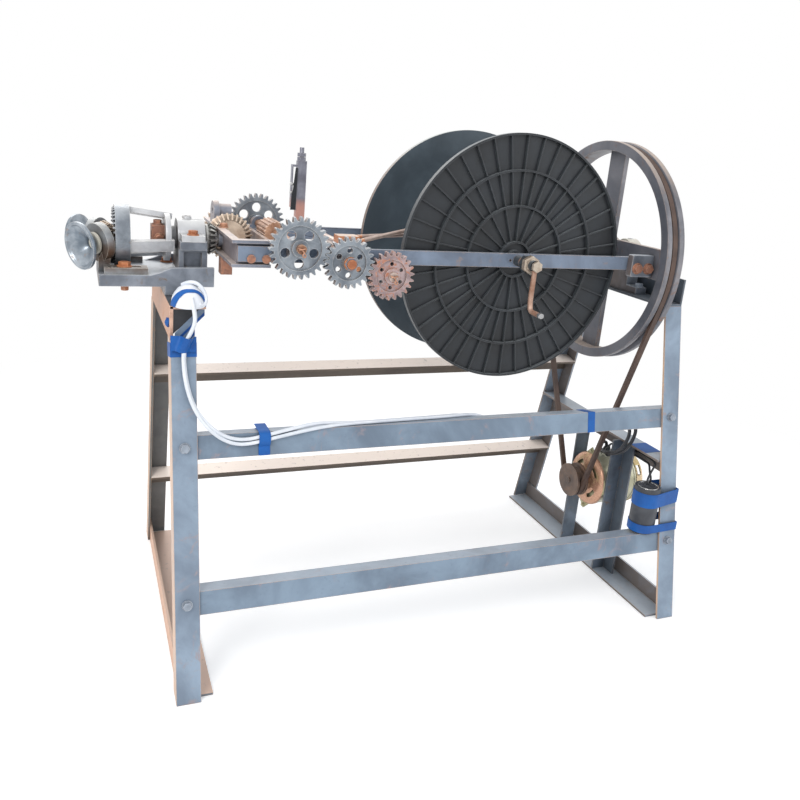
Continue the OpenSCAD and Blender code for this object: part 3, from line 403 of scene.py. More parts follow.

# Left, front and top colours are painted light and shade by facing; the cast iron's brown left faces are rust as well
# as painted shade.
FINISHES: dict[str, MetalFinish | PlasticFinish] = {
    "painted_steel": MetalFinish("WornBlueSteel", "96A8BB", "768495", "9E9294", "CEA886", cover=0.42, edge_amount=0.8,
        left=("E2B68E", 0.9), top=("CED6DE", 0.45), metallic=0.2),
    "shaded_steel": MetalFinish("ShadedSteel", "96A4B4", "707A86", "86746A", "BE9E86", cover=0.45,
        left=("746A64", 0.95), top=("C4CCD4", 0.6), side_cover=0.45, metallic=0.15),
    # Painted light and shade on the rear rails: a dark brown base for their shaded faces and a cream top for their
    # sunlit faces.
    "sunlit_steel": MetalFinish("SunlitSteel", "685C50", "544A42", "806856", "967860", edge_amount=0.3,
        left=("E6BE98", 0.9), top=("FFF0E4", 1.0), side_cover=0.9, metallic=0.0, scale=6.0),
    # A darker, shaded copy of the stand's paint: painted shade on the motor uprights, the right cross beam and the
    # lugs.
    "shaded_slate_steel": MetalFinish("DarkSlateSteel", "707C8A", "4A525C", "786256", "A89C92", cover=0.4,
        left=("586068", 0.8), top=("969CA2", 0.4), metallic=0.2, scale=10.0),
    "rail_steel": MetalFinish("RailSteel", "889BAE", "6A798A", "988C90", "C8AA90", cover=0.42, edge_amount=0.8,
        left=("E2B68E", 0.9), top=("CAD2DC", 0.5), metallic=0.2),
    "bar_steel": MetalFinish("BarSteel", "808EA2", "626C7C", "8A7C78", "C4AA92", cover=0.42, edge_amount=0.8,
        left=("A08270", 0.7), top=("CED6DE", 0.6), metallic=0.2, scale=9.0),
    "base_steel": MetalFinish("BaseSteel", "8C96A2", "6C7078", "A0887A", "CEA886", cover=0.42, edge_amount=0.8,
        left=("D8A480", 0.9), top=("CEB09E", 0.95), side_cover=0.6, metallic=0.1, scale=6.0),
    # A darker grey copy of the stand's paint: painted shade on the left rear leg's inner face, with painted light in
    # tan on its left faces.
    "inner_steel": MetalFinish("InnerSteel", "7A7977", "5C5C5C", "806C5E", "C49C7A", cover=0.4, edge_amount=0.6,
        left=("DEAE86", 0.9), top=("CEBEB0", 0.5), metallic=0.1),
    "bolt_steel": MetalFinish("BoltSteel", "A0AAB6", "78808C", "8C8480", "D8DCE2", edge_amount=0.5, scale=40.0,
        bump=0.2),
    "raw_edge": MetalFinish("RawEdge", "DEB8A2", "B8927E", "AA765A", "F0DCCE", cover=0.35, edge_amount=0.5,
        metallic=0.1, scale=50.0, grain=900.0, bump=0.3),
    "beam_steel": MetalFinish("BeamSteel", "70747C", "42464C", "7E6A5A", "C4A082", cover=0.45, edge_amount=0.8,
        left=("C88E66", 0.95), front=("CEAC96", 0.95), side_cover=0.5, metallic=0.1, scale=9.0),
    "cast_iron": MetalFinish("CastIron", "9299A4", "626872", "7A685A", "D6D6D4", cover=0.42, left=("786252", 0.65),
        top=("D6DCE2", 0.7), scale=14.0, grain=750.0, bump=0.6, painted_crevice_shade=0.6),
    "brown_cast": MetalFinish("BrownCastIron", "A6ACB2", "707070", "786050", "D8D4C8", cover=0.4, edge_amount=0.6,
        top=("DCDEDC", 0.7), foot=("624E40", 0.812, 0.767), metallic=0.2, scale=14.0, grain=750.0, bump=0.5,
        painted_crevice_shade=0.5),
    "pale_cast": MetalFinish("PaleCastIron", "D6D8DA", "B0B2B6", "AA9E92", "EEECE8", edge_amount=0.6,
        left=("C4BAB0", 0.4), top=("EEEEEC", 0.7), scale=14.0, grain=750.0, bump=0.4, painted_crevice_shade=0.6),
    "pink_cast": MetalFinish("PinkishCastIron", "9498A4", "6A707E", "8E7870", "D6C8BE", cover=0.4,
        left=("968076", 0.6), top=("E2D0C4", 0.85), metallic=0.25, scale=16.0, grain=750.0, bump=0.4, painted_crevice_shade=0.5),
    "cream_cast": MetalFinish("CreamCast", "E2DED0", "C4BEAE", "BEA88A", "F0ECE2", edge_amount=0.5,
        top=("F0ECE0", 0.6), metallic=0.15, scale=16.0, bump=0.3),
    "bare_steel": MetalFinish("BareSteel", "CECECE", "A0A0A2", "AA9888", "E2E0DC", cover=0.25, edge_amount=0.4,
        metallic=0.8, smooth=0.22, rough=0.45, scale=18.0, bump=0.1),
    "polished_horn": MetalFinish("PolishedHorn", "B0B8C0", "687480", "967458", "F0F0EE", cover=0.42, edge_amount=0.9,
        metallic=0.55, smooth=0.3, rough=0.5, scale=26.0, bump=0.08, painted_crevice_shade=0.7),
    "pink_rod": MetalFinish("PinkishRod", "D6C4BA", "AA948A", "B08066", "E6D8CE", cover=0.35, edge_amount=0.4,
        metallic=0.5, smooth=0.3, rough=0.55, scale=22.0, bump=0.15),
    "rusty_bolts": MetalFinish("Rust", "CE8458", "925638", "684A3C", "E6AA7E", cover=0.35, edge_amount=0.6,
        metallic=0.1, smooth=0.55, rough=0.85, scale=40.0, grain=900.0, bump=0.7),
    "bronze": MetalFinish("RustyBronze", "CC9678", "92624C", "AA6E4A", "E2BEA6", cover=0.4, edge_amount=0.5,
        smooth=0.35, rough=0.6, scale=42.0, grain=900.0, bump=0.3, painted_crevice_shade=0.6),
    "fork_rust": MetalFinish("ForkRust", "E09E76", "BA7652", "8C5C44", "FADCC4", cover=0.35, top=("F0D8C4", 0.8),
        side_cover=0.4, metallic=0.2, smooth=0.3, rough=0.55, scale=24.0, grain=900.0, bump=0.3),
    "crank_rust": MetalFinish("CrankRust", "C6A694", "96705C", "AC6C4A", "E2D4C8", cover=0.45, edge_amount=0.5,
        smooth=0.35, rough=0.6, scale=30.0, grain=900.0, bump=0.3),
    "screw_rust": MetalFinish("ScrewRust", "BE8468", "8C6454", "70605E", "CEB09C", cover=0.5, edge_amount=0.5,
        metallic=0.1, smooth=0.5, rough=0.8, scale=60.0, grain=900.0, bump=0.6, painted_crevice_shade=0.5),
    "tan_nut": MetalFinish("TanNut", "C4B8A8", "A08C7A", "B07A56", "ECE6DA", cover=0.4, metallic=0.5, smooth=0.3,
        rough=0.6, scale=60.0, grain=900.0, bump=0.3),
    "gear_iron": MetalFinish("GearIron", "9CA4AC", "6A717A", "967E6E", "D4D6D6", cover=0.36, left=("B08668", 0.45),
        top=("CED2D6", 0.5), metallic=0.4, smooth=0.35, rough=0.6, scale=26.0, grain=900.0, bump=0.45, painted_crevice_shade=0.6),
    "rusty_gear": MetalFinish("RustyGear", "BAA6A6", "867476", "BA7452", "DEC4B4", cover=0.55, edge_amount=0.6,
        metallic=0.25, smooth=0.45, rough=0.75, scale=30.0, grain=900.0, bump=0.6, painted_crevice_shade=0.55),
    "bright_teeth": MetalFinish("BrightTeeth", "CECECA", "969492", "82766A", "F0EEE6", edge_amount=0.9, metallic=0.4,
        smooth=0.3, rough=0.55, scale=30.0, grain=900.0, bump=0.4, painted_crevice_shade=0.9),
    "tan_iron": MetalFinish("GreasyTanIron", "E8D4BE", "B89E88", "7C6250", "FAEEDC", metallic=0.25, smooth=0.35,
        rough=0.6, scale=30.0, grain=900.0, bump=0.4, painted_crevice_shade=0.8),
    "roller_brown": MetalFinish("BrownRoller", "CCA286", "8C624A", "B0704A", "E6CCB4", cover=0.45, edge_amount=0.6,
        metallic=0.25, smooth=0.4, rough=0.7, scale=34.0, grain=800.0, bump=0.5, painted_crevice_shade=0.7),
    "reel_black": MetalFinish("ReelBlack", "252A30", "1B1E22", "32383E", "626568", edge_amount=0.45,
        edge_radius=0.0014, left=("545A5E", 0.5), top=("969CA0", 0.55), side_cover=0.5, metallic=0.0, smooth=0.42,
        rough=0.6, scale=10.0, grain=600.0, bump=0.15, painted_crevice_shade=0.35),
    "reel_slate": MetalFinish("ReelSlate", "505C65", "3E4850", "58646C", "96989A", edge_amount=0.45,
        edge_radius=0.0014, left=("967864", 0.6), top=("D6DAD6", 0.85), side_cover=0.5, metallic=0.0, smooth=0.42,
        rough=0.6, scale=8.0, grain=600.0, bump=0.15),
    # Painted shade on the arms' left faces and painted light on the rim's top.
    "wheel_grey": MetalFinish("WheelGrey", "8E8C90", "585A62", "846450", "C4AE9C", cover=0.46, left=("565A64", 0.65),
        top=("CEBAAA", 0.75), side_cover=0.4, scale=9.0, bump=0.35),
    "belt_brown": PlasticFinish("BeltRubber", "5C483E", "463630", 0.6, bump=0.2),
    "brown_pulley": MetalFinish("BrownPulley", "786254", "524640", "846046", "B09682", cover=0.45, smooth=0.4,
        rough=0.7, scale=24.0, bump=0.35, painted_crevice_shade=0.6),
    "purple_post": MetalFinish("PurplePost", "9698A4", "6C6C78", "8C7674", "BEBABE", cover=0.35, edge_amount=0.5,
        foot=("CC9A8E", 0.885, 0.0), scale=20.0, bump=0.2),
    "motor_gold": MetalFinish("YellowZinc", "E0AE96", "D2A284", "BCB078", "E8DEBA", cover=0.44, edge_amount=0.4,
        metallic=0.4, smooth=0.26, rough=0.4, scale=5.0, bump=0.05, painted_crevice_shade=0.4),
    "khaki_plate": MetalFinish("KhakiPlate", "B0AC88", "888464", "C0B68C", "D6D2B0", cover=0.35, edge_amount=0.5,
        left=("BEBA94", 0.7), metallic=0.4, smooth=0.3, rough=0.5, scale=12.0, bump=0.1),
    "bell_gold": MetalFinish("YellowBell", "E8CEAC", "CEB882", "DCA88C", "F4ECCE", cover=0.45, edge_amount=0.4,
        metallic=0.45, smooth=0.26, rough=0.4, scale=17.0, bump=0.06, painted_crevice_shade=0.4),
    "motor_green": MetalFinish("MotorZinc", "D6D4BE", "B8B498", "B4A076", "F0F0E2", edge_amount=0.4, metallic=0.4,
        smooth=0.24, rough=0.4, scale=12.0, bump=0.1),
    "capacitor_grey": PlasticFinish("CapacitorCan", "4A4D53", "36383E", 0.45),
    "black_sleeve": PlasticFinish("BlackSleeve", "2C2E34", "222428", 0.35),
    "tape_shade": PlasticFinish("ShadedTape", "064C96", "043C7E", 0.55),
    "tape_grey": PlasticFinish("GreyWrap", "7A8EA4", "627084", 0.45),
    "tape_blue": PlasticFinish("BlueTape", "005CAC", "004C96", 0.55),
    "lead_white": PlasticFinish("LeadWhite", "E8ECF2", "D8DEE6", 0.36),
    "white_plastic": PlasticFinish("WhitePlastic", "EEF1F6", "D8DEE8", 0.32),
}


# ---------------------------------------------------------------- modelling bench


class Bench:
    """Modelling steps that are used for more than one piece."""

    @staticmethod
    def clear() -> None:
        """Leaves nothing selected, outside edit mode."""
        if bpy.context.object and bpy.context.object.mode != "OBJECT":
            bpy.ops.object.mode_set(mode="OBJECT")
        bpy.ops.object.select_all(action="DESELECT")

    @staticmethod
    def pick(obj: bpy.types.Object) -> None:
        """Selects one object and makes it active.

        Args:
            obj: the object.
        """
        Bench.clear()
        obj.select_set(True)
        bpy.context.view_layer.objects.active = obj

    @staticmethod
    def settle(name: str) -> bpy.types.Object:
        """Applies the new object's place, turn and size to its mesh, and names it.

        Args:
            name: the piece's name.

        Returns:
            The object.
        """
        obj = bpy.context.object
        Bench.pick(obj)
        bpy.ops.object.transform_apply(location=True, rotation=True, scale=True)
        obj.name = name
        return obj

    @staticmethod
    def edit(obj: bpy.types.Object, action: str = "SELECT") -> None:
        """Opens one object in edit mode.

        Args:
            obj: the object.
            action: what is selected.
        """
        Bench.pick(obj)
        bpy.ops.object.mode_set(mode="EDIT")
        bpy.ops.mesh.select_all(action=action)

    @staticmethod
    def finish(smooth: float | None = None, outward: bool = False) -> None:
        """Leaves edit mode.

        Args:
            smooth: the angle in degrees up to which edges are shaded smooth, if any.
            outward: whether all faces are first turned outwards.
        """
        if outward:
            bpy.ops.mesh.select_all(action="SELECT")
            bpy.ops.mesh.normals_make_consistent(inside=False)
        bpy.ops.object.mode_set(mode="OBJECT")
        if smooth:
            bpy.ops.object.shade_smooth_by_angle(angle=math.radians(smooth))

    @staticmethod
    def shape(obj: bpy.types.Object, kind: str, **settings: object) -> None:
        """Adds a modifier and applies it.

        Args:
            obj: the object.
            kind: the modifier's type.
            settings: its properties.
        """
        Bench.pick(obj)
        modifier = obj.modifiers.new("Step", kind)
        for key, value in settings.items():
            setattr(modifier, key, value)
        bpy.ops.object.modifier_apply(modifier=modifier.name)

    @staticmethod
    def rounded(obj: bpy.types.Object, width: float, segments: int = 2, angle: float = 35.0) -> None:
        """Rounds an object's sharp edges.

        Args:
            obj: the object.
            width: of the rounding, in metres.
            segments: faces across it.
            angle: the least angle of a sharp edge, in degrees.
        """
        Bench.shape(obj, "BEVEL", width=width, segments=segments, limit_method="ANGLE",
                    angle_limit=math.radians(angle))
        Bench.finish(SMOOTH_BELOW)

    @staticmethod
    def tube(name: str, points: Sequence[Point], radius: float, sides: int = 4) -> bpy.types.Object:
        """Makes a round cord along a smooth path.

        Args:
            name: the piece's name.
            points: the path, in millimetres.
            radius: the cord's radius in millimetres.
            sides: the curve's bevel resolution.

        Returns:
            The cord as a mesh object.
        """
        Bench.clear()
        curve = bpy.data.curves.new(name, "CURVE")
        curve.dimensions = "3D"
        curve.bevel_depth = radius / MM
        curve.bevel_resolution = sides
        curve.use_fill_caps = True
        path = Bench.eased([Vector(place(*p)) for p in points])
        spline = curve.splines.new("POLY")
        spline.points.add(len(path) - 1)
        for knot, point in zip(spline.points, path):
            knot.co = (*point, 1.0)
        obj = bpy.data.objects.new(name, curve)
        bpy.context.scene.collection.objects.link(obj)
        Bench.pick(obj)
        bpy.ops.object.convert(target="MESH")
        bpy.ops.object.shade_smooth()
        return bpy.context.object

    @staticmethod
    def eased(knots: list[Vector], steps: int = 7, passes: int = 16) -> list[Vector]:
        """Returns a smooth line through knots, with its sharp corners eased.

        Args:
            knots: the points of the route.
            steps: how many stretches lie between two knots.
            passes: how often each point moves towards its neighbours.

        Returns:
            The points of the line.
        """
        knots = [knots[0] * 2.0 - knots[1], *knots, knots[-1] * 2.0 - knots[-2]]
        line = []
        for a, b, c, d in zip(knots, knots[1:], knots[2:], knots[3:]):
            for step in range(steps):
                t = step / steps
                line.append((b * 2.0 + (c - a) * t + (a * 2.0 - b * 5.0 + c * 4.0 - d) * t * t
                             + (b * 3.0 - a - c * 3.0 + d) * t ** 3) / 2.0)
        line.append(knots[-2])
        for _ in range(passes):
            line = [line[0], *((a + b * 2.0 + c) / 4.0 for a, b, c in zip(line, line[1:], line[2:])), line[-1]]
        return line

    @staticmethod
    def choose(obj: bpy.types.Object, test: Callable[[Vector], bool]) -> None:
        """Selects some faces of an object and leaves it in edit mode.

        Args:
            obj: the object.
            test: says of a face's centre whether the face is selected.
        """
        Bench.edit(obj, "DESELECT")
        bpy.ops.object.mode_set(mode="OBJECT")
        for face in obj.data.polygons:
            face.select = test(face.center)
        for edge in obj.data.edges:
            edge.select = False
        bpy.ops.object.mode_set(mode="EDIT")
        bpy.ops.mesh.select_mode(type="FACE")

    @staticmethod
    def turned(name: str, profile: Sequence[tuple[float, float]], base: Point, axis: Vector, sides: int = 64,
               capped: bool = True) -> bpy.types.Object:
        """Turns a round piece as on a lathe, ring by ring.

        Args:
            name: the piece's name.
            profile: distance along the axis and radius of each ring, in millimetres.
            base: the point that distances are counted from, in metres.
            axis: the piece's axis.
            sides: faces around.
            capped: whether both ends are closed.

        Returns:
            The turned piece.
        """
        Bench.clear()
        axis = axis.normalized()
        (first, radius), ends = profile[0], "NGON" if capped else "NOTHING"
        bpy.ops.mesh.primitive_circle_add(vertices=sides, radius=radius / MM, fill_type=ends,
                                          location=Vector(base) + axis * (first / MM),
                                          rotation=axis.to_track_quat("Z", "Y").to_euler())
        obj = Bench.settle(name)
        bpy.ops.object.mode_set(mode="EDIT")
        bpy.ops.mesh.select_mode(type="EDGE")
        bpy.ops.mesh.select_all(action="SELECT")
        for (a0, r0), (a1, r1) in zip(profile, profile[1:]):
            bpy.ops.mesh.extrude_region_move(TRANSFORM_OT_translate={"value": axis * ((a1 - a0) / MM)})
            if abs(r1 - r0) > 1e-6:
                bpy.ops.transform.resize(value=(r1 / r0,) * 3)
        bpy.ops.mesh.select_mode(type="VERT")
        Bench.finish(TURNED_SMOOTH_BELOW, True)
        return obj

    @staticmethod
    def block(name: str, low: Point, high: Point, round_by: float) -> bpy.types.Object:
        """Makes a box with rounded edges.

        Args:
            name: the piece's name.
            low: its lowest corner in millimetres.
            high: its highest corner in millimetres.
            round_by: the rounding in millimetres.

        Returns:
            The box.
        """
        Bench.clear()
        a, b = Vector(place(*low)), Vector(place(*high))
        bpy.ops.mesh.primitive_cube_add(size=1.0, location=(a + b) / 2.0, scale=b - a)
        obj = Bench.settle(name)
        Bench.rounded(obj, round_by / MM, 3)
        return obj

    @staticmethod
    def tape(name: str, path: Callable[[float, float], Point], along: int, across: int) -> bpy.types.Object:
        """Makes a thin strip that follows a curved surface.

        Args:
            name: the piece's name.
            path: gives the point in millimetres for two shares, along and across.
            along: how many steps along.
            across: how many steps across.

        Returns:
            The strip.
        """
        Bench.clear()
        bpy.ops.mesh.primitive_grid_add(x_subdivisions=along, y_subdivisions=across, size=1.0,
                                        location=(0.5, 0.5, 0.0))
        obj = Bench.settle(name)
        for vert in obj.data.vertices:
            vert.co = place(*path(vert.co.x, vert.co.y))
        Bench.shape(obj, "SOLIDIFY", thickness=TAPE_THICKNESS, offset=0.0)
        Bench.edit(obj)
        Bench.finish(SMOOTH_BELOW, True)
        return obj

    @staticmethod
    def join(name: str, pieces: Sequence[bpy.types.Object]) -> bpy.types.Object:
        """Joins pieces into one object.

        Args:
            name: the object's name.
            pieces: the pieces.

        Returns:
            The object.
        """
        Bench.clear()
        for obj in pieces:
            obj.select_set(True)
        bpy.context.view_layer.objects.active = pieces[0]
        bpy.ops.object.join()
        pieces[0].name = name
        return pieces[0]

    @staticmethod
    def hexagon(name: str, base: Point, axis: Vector, radius: float, height: float,
                washer: float = 0.0) -> bpy.types.Object:
        """Makes a chamfered hexagon bolt head, with a washer under it when asked.

        Args:
            name: the piece's name.
            base: the middle of its seat in metres.
            axis: the way that it points.
            radius: over its corners, in millimetres.
            height: in millimetres.
            washer: the washer's radius in millimetres, or 0.

        Returns:
            The bolt head.
        """
        low = 2.0 if washer > 0.0 else 0.0
        rings = [(low, radius), (low + height * 0.84, radius), (low + height, radius * 0.82)]
        head = Bench.turned(name, rings, base, axis, 6)
        Bench.rounded(head, 0.0006, 2)
        if washer <= 0.0:
            return head
        ring = Bench.turned(name + "_washer", [(0.0, washer), (1.6, washer), (2.0, washer - 0.5)], base, axis, 32)
        return Bench.join(name, [head, ring])


class Assembly:
    """A group of pieces that share finishes and ride on the machine's bodies."""

    def fit(self, obj: bpy.types.Object, body: str, slot: str, *nodes: str, finish: str = "") -> bpy.types.Object:
        """Dresses a piece and fixes it to a body.

        Args:
            obj: the piece.
            body: the body it moves with.
            slot: the finish's slot in the record.
            nodes: CAD nodes that it stands for.
            finish: a finish other than the slot's own.

        Returns:
            The same piece.
        """
        obj.data.materials.clear()
        obj.data.materials.append(MATERIALS[finish or slot])
        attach(obj, body)
        if nodes:
            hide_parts(*nodes)
        log.info("%s on %s, %d faces", obj.name, body, len(obj.data.polygons))
        return obj


class Nodes(Assembly):
    """The solids that come with the frame: their finishes and rounded edges."""

    WELD_M = 0.00002
    SHARP_DEGREES = 50.0
    ROUND_MM: dict[float, str] = {
        2.5: "head_base horn_bracket end_blocks",
        2.0: "pedestal_cap right_bearing right_bearing_cap belt_wheel capacitor motor_covers",
        1.5: "front_bracket rear_bracket yoke_cage motor_pulley crank",
        1.2: "left_cross_beam right_cross_beam",
        1.0: "head_bolts stand_bolts flyer_bolts",
        0.8: "front_horn rear_horn tension_post front_bar rear_bar",
    }
    SPECIAL: dict[str, str] = {
        "shaded_steel": "right_rear_leg right_base_rail side_rail", "inner_steel": "left_rear_leg",
        "shaded_slate_steel": "motor_uprights right_cross_beam", "base_steel": "left_base_rail",
        "sunlit_steel": "rear_upper_rail rear_lower_rail", "rail_steel": "front_upper_rail front_lower_rail",
        "bar_steel": "front_bar rear_bar", "bolt_steel": "stand_bolts", "bright_teeth": "fixed_bevel_gear",
        "polished_horn": "front_horn rear_horn", "brown_pulley": "motor_pulley", "purple_post": "tension_post",
        "cream_cast": "right_bearing_cap", "pale_cast": "pedestal_cap yoke_cage", "brown_cast": "horn_bracket",
        "pink_cast": "front_bracket rear_bracket", "pink_rod": "traverse_screw guide_rod cross_tie",
        "screw_rust": "flyer_bolts", "fork_rust": "carriage", "reel_slate": "reel_rear_flange",
    }

    def dress(self) -> None:
        """Gives every node the finish of its slot or its own, and rounds the castings' edges."""
        widths = {node: width for width, nodes in self.ROUND_MM.items() for node in nodes.split()}
        own = {node: finish for finish, nodes in self.SPECIAL.items() for node in nodes.split()}
        for part in frame["record"]["subparts"]:
            name = part["node"]
            node, material = frame["nodes"][name], MATERIALS[own.get(name, part["material_slot"])]
            if not node.material_slots:
                node.data.materials.append(material)
            for held in node.material_slots:
                held.material = material
            if name in widths:
                node.modifiers.new("Weld", "WELD").merge_threshold = self.WELD_M
                soften = node.modifiers.new("Round", "BEVEL")
                soften.width = widths[name] / MM
                soften.segments = 2
                soften.limit_method = "ANGLE"
                soften.angle_limit = math.radians(self.SHARP_DEGREES)
                soften.harden_normals = False
            log.info("node %s: %s", name, material.name)


@dataclass
class Wiring(Assembly):
    """The two leads from the switch to the motor, and the capacitor's two wires."""

    lead_radius: float = 3.5
    wire_radius: float = 2.5
    sleeve_wall: float = 0.6
    sleeve_knots: int = 11
    rail_lean: float = 13.06
    front_lead: tuple[Point, ...] = (
        (-542, -211, 744), (-537.5, -216, 722), (-535, -214, 698), (-545, -209, 674), (-554.5, -207.5, 650),
        (-553, -217.5, 602), (-542, -231, 555), (-520, -241, 517), (-488, -241.5, 486), (-450, -236, 470),
        (-405, -233, 476), (-347, -230.5, 486), (-295, -229, 494), (-240, -215, 492), (-100, -201, 489),
        (15, -192, 487), (70, -175, 482.5), (110, -181, 467), (160, -196, 468), (300, -202, 469),
        (430, -202, 466), (490, -198, 440), (497, -188, 400), (496, -162, 352), (492, -110, 332), (506, -76, 322),
        (534, -50, 322), (550, -43, 319), (550, -43, 311), (550, -43, 302.05))
    rear_lead: tuple[Point, ...] = (
        (-540, -205, 744), (-536, -209.5, 722), (-533.5, -207, 698), (-543, -203, 674), (-552.5, -203.6, 650),
        (-551, -213.6, 602), (-540, -226.5, 555), (-521, -236, 524), (-489, -240, 494), (-448, -233.5, 478.5),
        (-405, -231, 484.5), (-349, -228.5, 495), (-302, -222, 501), (-240, -207, 490.5), (-100, -193, 487),
        (-10, -185, 485.5), (44, -167, 479), (80, -170, 463), (140, -186, 459), (200, -191, 461),
        (300, -194, 461), (430, -194, 458), (480, -190, 432), (487, -180, 394), (487, -152, 350),
        (484, -104, 335), (500, -66, 331), (530, -38, 331), (550, -31.5, 325), (550, -31.5, 314),
        (550, -31.5, 302.05))
    front_wire: tuple[Point, ...] = (
        (487, -270, 319.85), (487, -270, 326.8), (487, -270, 333.8), (502, -260, 346), (520, -250, 358),
        (534, -230, 356), (551, -188, 350), (556, -148, 346), (556, -108, 338), (558, -70, 334),
        (560.5, -38, 323), (561, -31.5, 316), (561, -31.5, 309), (561, -31.5, 302.05))
    rear_wire: tuple[Point, ...] = (
        (503, -262, 319.85), (503, -262, 326.8), (503, -262, 333.8), (509, -248, 340), (522, -230, 347),
        (540, -204, 342), (550, -168, 337), (552, -132, 334), (553, -104, 328), (560, -74, 320),
        (565, -48, 317), (566, -43.5, 313), (566, -43.5, 308), (566, -43.5, 302.05))

    def build(self) -> None:
        """Makes both leads, both wires, the leads' sleeves at the motor and the straps."""
        sleeve, last = self.lead_radius + self.sleeve_wall, -self.sleeve_knots
        for name, route, radius, finish, *nodes in (
                ("lead_front", self.front_lead, self.lead_radius, "lead_white", "switch_leads"),
                ("lead_rear", self.rear_lead, self.lead_radius, "lead_white"),
                ("wire_front", self.front_wire, self.wire_radius, "black_sleeve"),
                ("wire_rear", self.rear_wire, self.wire_radius, "black_sleeve"),
                ("sleeve_front", self.front_lead[last:], sleeve, "black_sleeve"),
                ("sleeve_rear", self.rear_lead[last:], sleeve, "black_sleeve")):
            self.fit(Bench.tube(name, route, radius), "stand", "white_plastic", *nodes, finish=finish)
        self.rail_strap()
        self.leg_strap()

    def leg_strap(self) -> None:
        """Sticks the tape that holds the leads against the top of the leg."""
        def strap(u: float, v: float) -> Point:
            """Finds a point of the tape, which runs across the leg.

            Args:
                u: the share along its length.
                v: the share across it.

            Returns:
                The point in millimetres.
            """
            x, z = -575.5 + 45.5 * u, 645.0 + 27.0 * v - 2.5 * u
            up = z - 650.0
            lump = math.exp(-((x + 553.5 - 0.45 * up) / 9.0) ** 4)
            return (x, -200.4 + 0.2319 * up - (12.6 + 0.32 * up) * lump, z)

        self.fit(Bench.tape("leg_strap", strap, 48, 4), "stand", "tape_blue")

    def rail_strap(self) -> None:
        """Sticks the tape that holds the leads against the rail."""
        low, _high = limits("front_upper_rail")
        lean = math.tan(math.radians(self.rail_lean))
        face = [(low[1] + lean * (z - low[2]) - 1.7, z) for z in (447.0, 455.0, 463.0)]
        over = [(-236.0, 469.0), (-238.0, 474.0), (-237.9, 480.0), (-236.6, 486.0), (-233.0, 490.0), (-226.0, 491.6)]
        back = [(-212.0, 491.4), (-198.0, 491.2), (-184.0, 491.0)]
        line = [Vector((0.0, y, z)) for y, z in face + over + back]
        left, width = -417.0, 22.0

        def strap(u: float, v: float) -> Point:
            """Finds a point of the tape, which runs round the rail.

            Args:
                u: the share along its length.
                v: the share across it.

            Returns:
                The point in millimetres.
            """
            spot = min(u * (len(line) - 1), len(line) - 1.0001)
            here = line[int(spot)].lerp(line[int(spot) + 1], spot % 1.0)
            return (left + width * v, here.y, here.z)

        self.fit(Bench.tape("rail_strap", strap, 33, 3), "stand", "tape_blue")


